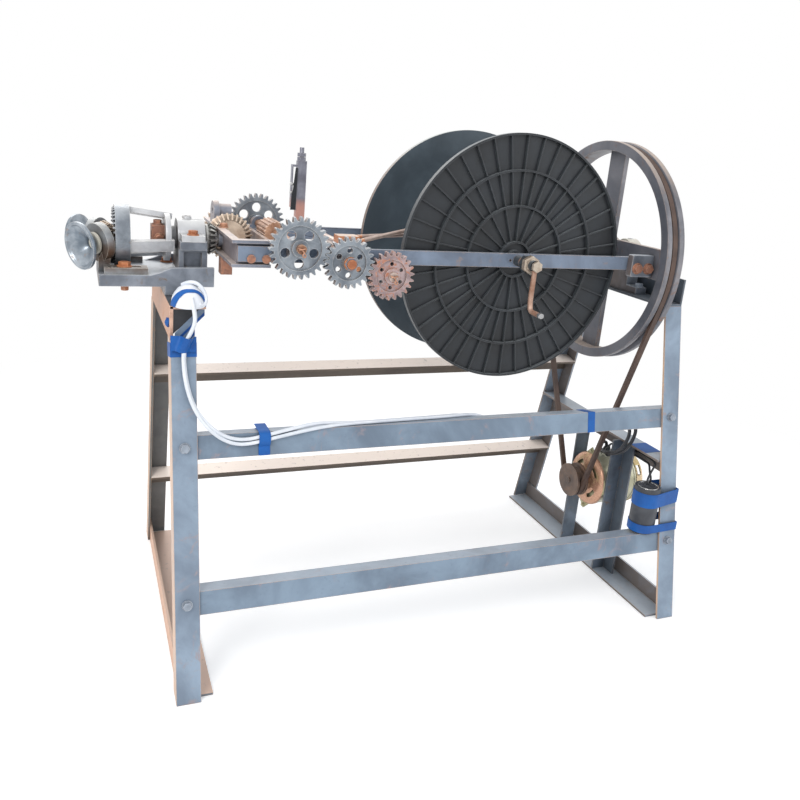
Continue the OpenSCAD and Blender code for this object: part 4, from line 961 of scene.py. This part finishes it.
@dataclass
class Motor(Assembly):
    """The motor's sheet-metal end bells, its flange plate, its bolts and its fittings."""

    axis_y: float = -34.0
    axis_z: float = 229.0
    front_x: float = 497.0
    length: float = 140.0
    flange_half: float = 72.0
    sheet: float = 1.6

    def on_axis(self, x: float, up: float = 0.0) -> Point:
        """Returns a place on the motor's axis, or above it, in metres."""
        return place(x, self.axis_y, self.axis_z + up)

    def bell(self, name: str, lip_x: float, out: float) -> bpy.types.Object:
        """Presses one end bell with curved air slots.

        Args:
            name: the piece's name.
            lip_x: the place of its lip along X.
            out: -1 for the front bell and 1 for the rear one.

        Returns:
            The bell.
        """
        rise = [(0.0, 69.6), (3.0, 69.8), (4.0, 67.5), (18.0, 66.5), (24.0, 63.5), (27.5, 57.0), (28.6, 53.0)]
        rim, tail = 28.8, [(34.5, 9.0)]
        if out < 0.0:
            rise = [(0.0, 68.8), (3.0, 68.6), (6.0, 66.8), (8.6, 62.5), (9.8, 56.0), (10.2, 52.0)]
            rim, tail = 10.4, [(15.0, 17.5), (17.6, 17.0), (18.0, 9.0)]
        profile = rise + [(rim, 50.0), (rim + 0.2, 40.0), (rim + 0.4, 24.0), (rim + 3.0, 20.0)] + tail
        base = self.on_axis(lip_x)
        bell = Bench.turned(name, profile, base, RIGHT * out, 96, False)

        def in_slot(spot: Vector) -> bool:
            """Says whether a face lies in one of the four slots of the front or the eight of the side.

            Args:
                spot: the face's centre.

            Returns:
                True for a face in a slot.
            """
            away = (spot - Vector(base)) * MM
            ring, depth = math.hypot(away.y, away.z), abs(away.x)
            turn = math.degrees(math.atan2(away.z, away.y)) % 90.0
            if depth > rim - 0.1:
                return 40.0 < ring < 50.0 and 22.0 < turn < 68.0
            return 6.0 < depth < 18.0 and out > 0.0 and (turn % 45.0) < 24.0

        Bench.choose(bell, in_slot)
        bpy.ops.mesh.delete(type="FACE")
        Bench.finish()
        Bench.shape(bell, "SOLIDIFY", thickness=self.sheet / MM, offset=-1.0)
        return bell

    def flange(self) -> bpy.types.Object:
        """Cuts the square flange plate that stands on its corner.

        Returns:
            The plate with its bolts.
        """
        x = self.front_x + 8.0
        plate = Bench.turned("motor_flange", [(0.0, 87.0), (3.0, 87.0)], self.on_axis(x), RIGHT, 4)
        for side in (-1.0, 1.0):
            Bench.edit(plate)
            bpy.ops.mesh.bisect(plane_co=place(x, self.axis_y + side * self.flange_half, self.axis_z),
                                plane_no=(0.0, side, 0.0), clear_outer=True, use_fill=True)
            Bench.finish()
        Bench.rounded(plate, 0.002, 2, 60.0)
        bolts = [Bench.hexagon(f"flange_bolt_{number}", self.on_axis(x, up), LEFT, 4.4, 3.0, 5.4)
                 for number, up in ((1, 77.0), (2, -77.0))]
        return Bench.join("motor_flange", [plate, *bolts])

    def housing(self) -> bpy.types.Object:
        """Turns the middle of the housing, with its two rolled seams.

        Returns:
            The housing.
        """
        end = self.length - 38.0
        rings = [(0.0, 66.0), (1.5, 68.4), (6.0, 68.4), (7.0, 66.6), (30.0, 66.4), (31.0, 65.6), (33.0, 65.6),
                 (34.0, 66.4), (end - 8.0, 66.4), (end - 7.0, 68.4), (end, 68.4)]
        return Bench.turned("motor_middle", rings, self.on_axis(self.front_x + 10.5), RIGHT, 96)

    def fittings(self) -> None:
        """Makes the lugs to the uprights and the terminal block on top."""
        face = limits("motor_uprights")[0][0] + 4.0
        for number, side in enumerate((-1.0, 1.0)):
            near, far = sorted((self.axis_y + side * (self.flange_half - 0.2), self.axis_y + side * 62.0))
            lug = Bench.block(f"motor_lug_{number}", (face + 18.0, near, self.axis_z - 12.0),
                              (face + 31.0, far, self.axis_z + 12.0), 1.5)
            self.fit(lug, "stand", "motor_green", finish="shaded_slate_steel")
        block = Bench.block("motor_terminal_block", (543.0, -50.0, 288.0), (575.0, -20.0, 302.0), 2.0)
        self.fit(block, "stand", "motor_green", finish="black_sleeve")

    def build(self) -> None:
        """Makes the housing, both bells, the flange and the fittings."""
        self.fit(self.housing(), "stand", "motor_green", "motor_body")
        front = self.bell("motor_front_bell", self.front_x + 11.0, -1.0)
        self.fit(front, "stand", "motor_gold", "motor_covers")
        rear = self.bell("motor_rear_bell", self.front_x + self.length - 30.0, 1.0)
        self.fit(rear, "stand", "motor_gold", finish="bell_gold")
        self.fit(self.flange(), "stand", "motor_gold", finish="khaki_plate")
        self.fittings()


@dataclass
class Capacitor(Assembly):
    """The capacitor's rounded can with the bright ring and the two terminals of its lid."""

    radius: float = 30.0
    terminals: tuple[tuple[float, float], ...] = ((487.0, -270.0), (503.0, -262.0))

    def build(self) -> None:
        """Turns the can, the ring on its lid and the terminals."""
        low, high = limits("capacitor")
        x, y, _z = middle("capacitor")
        top, r, foot_z = high[2] - low[2], self.radius, low[2]
        can = [(0.2, r - 3.0), (1.0, r - 1.2), (3.0, r - 0.1), (top - 6.0, r - 0.1), (top - 4.0, r - 1.0),
               (top - 3.2, r - 3.0), (top - 4.5, r - 4.0), (top - 4.5, 2.0)]
        self.fit(Bench.turned("capacitor_can", can, place(x, y, foot_z), UP, 64), "stand", "capacitor_grey",
                 "capacitor")
        ring = [(top - 4.4, 21.0), (top - 3.0, 21.6), (top - 3.0, 23.4), (top - 4.4, 24.0)]
        self.fit(Bench.turned("capacitor_rim", ring, place(x, y, foot_z), UP, 64, False), "stand",
                 "capacitor_grey", finish="bare_steel")
        boss = [(top - 4.5, 5.0), (top - 1.0, 4.6), (top - 0.2, 3.2)]
        for number, spot in enumerate(self.terminals):
            self.fit(Bench.turned(f"capacitor_terminal_{number}", boss, place(*spot, foot_z), UP, 24), "stand",
                     "capacitor_grey")


@dataclass
class Crank(Assembly):
    """The reel's crank: a slim rod bent at its end, with its nuts and a bright tip."""

    rod_radius: float = 5.4
    drop: float = 92.0
    arm_y: float = -235.0

    def build(self) -> None:
        """Makes the rod, the tip, the sleeve and the nuts."""
        low, high = limits("crank")
        x, _y, z = middle("crank")
        top, y, tip_y, back_y = z + 41.5, self.arm_y, low[1], high[1]
        low_z = top - self.drop
        path = [(x, y - 1.0, top + 3.0), (x + 0.3, y - 1.0, top - 28.0), (x - 0.3, y - 0.5, top - 58.0),
                (x, y - 1.0, low_z + 15.0), (x, y - 4.0, low_z + 4.5), (x, y - 12.0, low_z),
                (x, y - 30.0, low_z), (x, tip_y + 9.0, low_z)]
        rod = Bench.tube("crank_rod", path, self.rod_radius, 5)
        self.fit(rod, "reel", "rusty_gear", "crank", finish="crank_rust")
        for name, seat_y, seat_z, finish, *shape in (
                ("crank_tip", tip_y + 9.5, low_z, "bare_steel", [(0.0, 5.9), (8.0, 5.9), (9.5, 5.0)], 32),
                ("crank_back_nut", back_y - 0.3, top, "tan_nut", 15.0, 9.0),
                ("crank_hub", back_y, top, "bronze", [(8.0, 8.0), (26.0, 8.0)], 32),
                ("crank_sleeve", -188.4, top, "crank_rust", [(0.0, 11.5), (24.5, 11.5)], 48),
                ("crank_seat_nut", -212.7, top, "tan_nut", 19.6, 13.0),
                ("crank_front_nut", y - 5.0, top, "tan_nut", 12.0, 8.0)):
            seat = place(x, seat_y, seat_z)
            if finish == "tan_nut":
                piece = Bench.hexagon(name, seat, FRONT, *shape)
            else:
                rings, corners = shape
                piece = Bench.turned(name, rings, seat, FRONT, corners)
            self.fit(piece, "reel", "rusty_gear", finish=finish)


@dataclass
class SwitchBox(Assembly):
    """The wrapped white switch on the beam's end, its blue tape and the loop of lead over it."""

    centre: Point = (-542.0, -172.0, 725.0)
    reach: Point = (30.5, 39.5, 35.0)
    base_z: float = 722.0
    lead_radius: float = 3.5
    loop: tuple[Point, ...] = ((-552, -160, 757), (-543, -166, 762.5), (-531, -172, 764), (-521, -178, 758),
                               (-514, -184, 745), (-513, -190, 732), (-519, -197, 727), (-527, -203, 731))
    strips: tuple[tuple[str, float, float, float], ...] = (
        ("tape_grey", -7.0, 3.5, 50.0), ("tape_shade", 3.2, 8.0, 50.0), ("tape_grey", 7.7, 16.0, 33.0),
        ("tape_shade", 15.7, 21.0, 33.0), ("tape_grey", 20.7, 31.0, 33.0))

    def beam_end(self) -> None:
        """Makes the raw cut end of the beam, a dark sheet of painted shadow in its corner, and the strips stuck
        across it.
        """
        rim = [Bench.block("beam_rim_top", (-575.0, -181.0, 716.5), (-511.5, -179.3, 722.6), 0.6),
               Bench.block("beam_rim_side", (-575.6, -181.0, 658.5), (-569.0, -179.3, 722.0), 0.6)]
        self.fit(Bench.join("beam_rim", rim), "stand", "beam_steel", finish="raw_edge")

        def sheet(u: float, v: float) -> Point:
            """Returns a point of the dark sheet of painted shadow in the corner of the beam."""
            return (-569.0 + 50.0 * u * (1.0 - v), -178.2, 716.5 - 46.0 * v)

        # Painted shadow: a black sheet laid in the beam's shaded corner.
        self.fit(Bench.tape("beam_sheet", sheet, 10, 6), "stand", "tape_blue", finish="black_sleeve")
        for number, (finish, near, far, reach) in enumerate(self.strips):
            def slant(u: float, v: float) -> Point:
                """Finds a point of one of the slanting strips.

                Args:
                    u: the share along its length.
                    v: the share across it.

                Returns:
                    The point in millimetres.
                """
                off = near + (far - near) * v
                first = max((0.699 * off - 12.8) / 55.4, (-2.3 - 0.715 * off) / 54.1)
                last = min((51.2 + 0.699 * off) / 55.4, (reach - 0.715 * off) / 54.1)
                t = first + (last - first) * u
                return (-563.7 + 54.1 * t + 0.715 * off, -179.0 - 0.3 * number, 664.8 + 55.4 * t - 0.699 * off)

            self.fit(Bench.tape(f"beam_strip_{number}", slant, 12, 3), "stand", "tape_blue", finish=finish)

    def shell(self) -> bpy.types.Object:
        """Models the wrapped body from a ball, cut flat where it stands on the beam and slightly lumpy.

        Returns:
            The body.
        """
        Bench.clear()
        bpy.ops.mesh.primitive_uv_sphere_add(segments=48, ring_count=28, radius=1.0 / MM,
                                             location=place(*self.centre), scale=self.reach)
        shell = Bench.settle("switch_shell")
        Bench.edit(shell)
        bpy.ops.transform.vertex_random(offset=0.0011, uniform=0.0, normal=1.0, seed=4)
        bpy.ops.mesh.vertices_smooth(factor=0.5, repeat=3)
        bpy.ops.mesh.bisect(plane_co=place(0.0, 0.0, self.base_z + 0.3), plane_no=(0.0, 0.0, -1.0), clear_outer=True,
                            use_fill=True)
        Bench.finish()
        Bench.rounded(shell, 0.0015, 2, 50.0)
        return shell

    def tapes(self) -> None:
        """Sticks the tape over the switch, across the beam's open end and in a lump on the beam's side."""
        def strap(u: float, v: float) -> Point:
            """Finds a point of the tape, which goes up one side of the shell, over its front and down.

            Args:
                u: the share along its length.
                v: the share across it.

            Returns:
                The point in millimetres.
            """
            arch = 1.0 - abs(2.0 * u - 1.0) ** 3.2
            outer, inner = 176.0 - 168.0 * u, 146.0 - 118.0 * u
            a, t = math.radians(outer + (inner - outer) * v), math.radians((62.0 - 12.0 * v) * arch - 3.0)
            ways = (math.cos(a) * math.cos(t), -math.sin(a) * math.cos(t), math.sin(t))
            return tuple(c + (r + 0.9) * w for c, r, w in zip(self.centre, self.reach, ways))

        self.fit(Bench.tape("switch_tape", strap, 56, 5), "stand", "tape_blue")
        self.beam_end()
        Bench.clear()
        bpy.ops.mesh.primitive_ico_sphere_add(subdivisions=3, radius=1.0 / MM, location=place(-576.0, -160.0, 688.0),
                                              scale=(5.0, 11.0, 9.0))
        lump = Bench.settle("tape_lump")
        Bench.edit(lump)
        bpy.ops.transform.vertex_random(offset=0.0016, uniform=0.0, normal=1.0, seed=9)
        Bench.finish()
        bpy.ops.object.shade_smooth()
        self.fit(lump, "stand", "tape_blue")

    def build(self) -> None:
        """Makes the shell, the loop of lead and the tapes."""
        self.fit(self.shell(), "stand", "white_plastic", "switch_body")
        self.fit(Bench.tube("switch_loop", self.loop, self.lead_radius), "stand", "white_plastic")
        self.tapes()


@dataclass
class Hardware(Assembly):
    """Small bolts, split pins, clips, collars and oil holes."""

    axis_z: float = 820.0
    base_low: float = 738.0
    apex_x: float = -632.0
    horn_splay: float = 33.0
    horn_drop: float = 8.5
    collar_off: float = 75.2

    def split_pin(self, name: str, spot: Point, size: float) -> bpy.types.Object:
        """Bends a split pin through a shaft's end, with one leg curled into a ring.

        Args:
            name: the piece's name.
            spot: the shaft's centre in millimetres.
            size: the reach of its legs in millimetres.

        Returns:
            The pin.
        """
        x, y, z = spot
        legs = (((-1.1, -1.5, 0.35), (-0.5, -2.0, 0.2), (0.1, -2.4, -0.2), (0.5, -3.0, -0.75), (0.45, -4.5, -1.15)),
                ((-0.8, -1.0, -0.1), (-0.2, -3.2, 0.05), (0.45, -3.4, 0.2), (0.95, -2.6, 0.3), (1.15, -1.0, 0.15)))
        parts = [Bench.tube(f"{name}_{k}", [(x + a * size, y + b, z + c * size) for a, b, c in leg], 1.4, 2)
                 for k, leg in enumerate(legs)]
        Bench.clear()
        bpy.ops.mesh.primitive_torus_add(major_radius=0.0032, minor_radius=0.0013, major_segments=24,
                                         minor_segments=10, location=place(x + 0.5 * size, y - 4.5, z - 1.45 * size),
                                         rotation=(math.radians(70.0), 0.0, math.radians(20.0)))
        parts.append(Bench.settle(f"{name}_eye"))
        bpy.ops.object.shade_smooth()
        return Bench.join(name, parts)

    def train(self) -> None:
        """Makes the idler's bolt and the split pins of the two front gears on shafts."""
        x, _y, z = middle("idler_gear")
        rings = [(0.0, 12.8), (4.2, 12.8), (5.2, 11.6), (5.2, 9.6), (11.4, 9.2), (12.8, 7.8)]
        bolt = Bench.turned("idler_bolt", rings, place(x, limits("idler_gear")[0][1] - 0.4, z), FRONT, 32)
        self.fit(bolt, "flyer", "rusty_bolts")
        for node, body, shaft in (("front_gear", "cross_spindle", "cross_shaft"),
                                  ("screw_gear", "screw_spindle", "traverse_screw")):
            x, _y, z = middle(node)
            face = min(limits(shaft)[0][1], limits(node)[0][1])
            self.fit(self.split_pin(f"{node}_pin", (x, face - 0.4, z), 7.0), body, "rusty_bolts", finish="bronze")

    def bolts(self) -> None:
        """Makes the clamp block's bolt inside the cage, the bracket's top bolt and the nuts under the base."""
        for name, body, spot, way, radius, height, washer in (
                ("clamp_bolt", "flyer", (-578.0, -17.0, self.axis_z - 1.0), FRONT, 9.5, 8.0, 10.5),
                ("bracket_top_bolt", "flyer", (-452.0, 4.0, 842.0), UP, 8.5, 7.0, 10.0),
                ("base_nut_0", "stand", (-645.0, -67.0, self.base_low), DOWN, 8.0, 9.0, 11.0),
                ("base_nut_1", "stand", (-645.0, 67.0, self.base_low), DOWN, 8.0, 9.0, 11.0)):
            bolt = Bench.hexagon(name, place(*spot), way, radius, height, washer)
            self.fit(bolt, body, "rusty_bolts", finish="bronze")

    def collars(self) -> None:
        """Makes the collars behind both horns."""
        splay, drop = math.radians(self.horn_splay), math.radians(self.horn_drop)
        rings = [(0.0, 19.6), (0.6, 20.4), (2.6, 20.4), (3.2, 19.8), (4.2, 19.8), (4.8, 20.4), (6.8, 20.4),
                 (7.4, 19.4)]
        for name, side in (("front_horn", -1.0), ("rear_horn", 1.0)):
            way = Vector((-math.cos(splay) * math.cos(drop), side * math.sin(splay),
                          -math.cos(splay) * math.sin(drop)))
            start = Vector(place(self.apex_x, 0.0, self.axis_z)) + way * (self.collar_off / MM)
            self.fit(Bench.turned(f"{name}_collar", rings, start, way, 64), f"{name}_spindle", "bare_steel",
                     finish="cream_cast")

    def post(self) -> None:
        """Makes the dark strip that leans beside the tension post, and the bright clips of its hanging strip."""
        def strip(u: float, v: float) -> Point:
            """Returns a point of the strip, up and across it."""
            left = -275.5 + 8.5 * u
            return (left + (12.5 - 7.0 * u) * v, 166.0, 867.0 + 93.0 * u)

        self.fit(Bench.tape("post_strip", strip, 6, 2), "stand", "beam_steel", finish="reel_black")
        x = limits("tension_post")[0][0]
        for number, z in enumerate((905.0, 924.0)):
            clip = Bench.block(f"post_clip_{number}", (x - 1.2, 168.6, z - 3.0), (x + 4.4, 182.0, z + 3.0), 0.8)
            self.fit(clip, "flyer", "beam_steel", finish="bare_steel")

    def oil_holes(self) -> None:
        """Makes the raised rings of the oil holes on both bearing caps."""
        rings = [(0.0, 7.6), (1.6, 7.4), (2.2, 6.4), (1.8, 4.4), (0.2, 3.6)]
        for name, node, off, sunk in (("left_oil_ring", "pedestal_cap", 6.0, 0.6),
                                      ("right_oil_ring", "right_bearing_cap", 0.0, 1.2)):
            top = place(middle(node)[0] - off, 0.0, limits(node)[1][2] - sunk)
            self.fit(Bench.turned(name, rings, top, UP, 40, False), "stand", "cast_iron", finish="bare_steel")

    def fork_rods(self) -> None:
        """Makes the pale sleeves on the carriage's two rope fingers."""
        rings = [(18.0, 3.9), (18.6, 4.6), (111.6, 4.6), (112.5, 3.8)]
        for number, (y, z, tilt) in enumerate(((-50.0, 829.0, 14.0), (-32.0, 837.0, 4.0))):
            way = Vector((math.cos(math.radians(tilt)), 0.0, math.sin(math.radians(tilt))))
            rod = Bench.turned(f"fork_rod_{number}", rings, place(-188.0, y, z), way, 24)
            self.fit(rod, "traverse_carriage", "bare_steel", finish="pink_rod")

    def build(self) -> None:
        """Makes all the small pieces."""
        for step in (self.train, self.bolts, self.collars, self.post, self.oil_holes, self.fork_rods):
            step()


@dataclass
class Studio:
    """The floor, the lamps, the world and the camera."""

    eye: Point = (-724.9, -1577.5, 1040.6)
    yaw: float = 22.300
    pitch: float = 15.679
    roll: float = 4.877
    focal_px: float = 778.85
    centre_px: tuple[float, float] = (386.36, 357.43)
    frame_px: float = 800.0
    sensor: float = 36.0
    sky: float = 0.82
    floor_lift: float = 0.3
    floor_radius: float = 14.0
    floor_sink: float = 0.0006
    shadow_ends: tuple[float, float] = (0.95, 2.1)
    lamps: tuple[tuple[str, Point, float, float, float, Colour], ...] = (
        ("KeyLamp", (-2.3, -2.3, 2.9), 0.6, 1.6, 62.0, (1.0, 0.97, 0.94)),
        ("FillLamp", (2.6, -2.2, 1.8), 0.5, 2.2, 16.0, (0.95, 0.98, 1.0)),
        ("BackLamp", (-0.6, 2.8, 2.6), 0.7, 2.0, 26.0, (1.0, 0.98, 0.96)))

    def camera(self) -> None:
        """Places the camera and makes it the scene's."""
        yaw, pitch, roll = (math.radians(v) for v in (self.yaw, self.pitch, self.roll))
        ahead = Vector((math.sin(yaw) * math.cos(pitch), math.cos(yaw) * math.cos(pitch), -math.sin(pitch)))
        right = Vector((math.cos(yaw), -math.sin(yaw), 0.0))
        up = right.cross(ahead)
        turned = right * math.cos(roll) + up * math.sin(roll)
        upright = up * math.cos(roll) - right * math.sin(roll)
        data = bpy.data.cameras.new("View")
        data.sensor_width = self.sensor
        data.sensor_fit = "HORIZONTAL"
        data.lens = self.focal_px / self.frame_px * self.sensor
        data.shift_x = (self.frame_px / 2.0 - self.centre_px[0]) / self.frame_px
        data.shift_y = (self.centre_px[1] - self.frame_px / 2.0) / self.frame_px
        data.clip_end = 50.0
        camera = bpy.data.objects.new("View", data)
        bpy.context.scene.collection.objects.link(camera)
        pose = Matrix((turned, upright, -ahead)).transposed().to_4x4()
        pose.translation = place(*self.eye)
        camera.matrix_world = pose
        bpy.context.scene.camera = camera

    def light(self) -> None:
        """Adds the soft square lamps, each aimed at a height on the machine's middle line."""
        for name, spot, aim, size, power, colour in self.lamps:
            data = bpy.data.lights.new(name, "AREA")
            data.size = size
            data.energy = power
            data.color = colour
            lamp = bpy.data.objects.new(name, data)
            bpy.context.scene.collection.objects.link(lamp)
            lamp.location = spot
            lamp.rotation_euler = (Vector((0.0, 0.0, aim)) - Vector(spot)).to_track_quat("-Z", "Y").to_euler()

    def world(self) -> None:
        """Gives the world a white look and an even pale light."""
        world = bpy.data.worlds.new("Studio")
        bpy.context.scene.world = world
        world.use_nodes = True
        g = Graph(world.node_tree)
        light = g.add("Background", {"Color": (0.95, 0.97, 1.0), "Strength": self.sky})
        white = g.add("Background", {"Color": (1.0, 1.0, 1.0), "Strength": 1.0})
        mix = g.add("MixShader", {0: self.seen(g), 1: light.outputs[0], 2: white.outputs[0]})
        g.add("OutputWorld", {"Surface": mix.outputs[0]})

    @staticmethod
    def seen(g: Graph) -> bpy.types.NodeSocket:
        """Adds nodes that give 1 for rays that show a surface to the camera, also by reflection.

        Args:
            g: the graph to add them to.

        Returns:
            Their socket.
        """
        path = g.add("LightPath").outputs
        mirrored = g.math("MAXIMUM", path["Is Camera Ray"], path["Is Glossy Ray"])
        return g.math("MAXIMUM", mirrored, path["Is Transmission Ray"])

    def floor(self) -> None:
        """Lays a pale floor that keeps the soft shadow and turns wholly white away from the machine."""
        Bench.clear()
        bpy.ops.mesh.primitive_circle_add(vertices=96, radius=self.floor_radius, fill_type="NGON",
                                          location=(0.0, 0.0, -self.floor_sink))
        floor = Bench.settle("studio_floor")
        mat, g = new_material("PaleFloor")
        matt = g.add("BsdfDiffuse", {"Color": (0.9, 0.9, 0.9)})
        seen = self.seen(g)
        away = g.add("VectorMath", {0: g.where("Object")}, operation="LENGTH")
        far = g.window(away.outputs["Value"], *self.shadow_ends)
        lift = g.add("Emission", {"Strength": g.times(seen, self.floor_lift)})
        near = g.add("AddShader", {0: matt.outputs[0], 1: lift.outputs[0]})
        white = g.add("Emission")
        blend = g.add("MixShader", {0: g.times(seen, far), 1: near.outputs[0], 2: white.outputs[0]})
        g.add("OutputMaterial", {"Surface": blend.outputs[0]})
        floor.data.materials.append(mat)

    def build(self) -> None:
        """Sets the whole studio up."""
        self.camera()
        self.world()
        self.floor()
        self.light()
        bpy.context.scene.view_settings.view_transform = "Standard"


def main() -> None:
    """Builds and dresses the machine."""
    logging.basicConfig(level=logging.INFO, format="%(message)s")
    Studio().build()
    for mask, make in ((Mask.WEAR, edge_wear), (Mask.PATCHES, patches), (Mask.SIDES, sides), (Mask.FOOT, foot)):
        GROUPS[mask] = make()
    for slot, finish in FINISHES.items():
        MATERIALS[slot] = finish.build()
    Nodes().dress()
    for group in (Wiring(), Motor(), Capacitor(), Crank(), SwitchBox(), Hardware()):
        group.build()


if __name__ == "__main__":
    main()
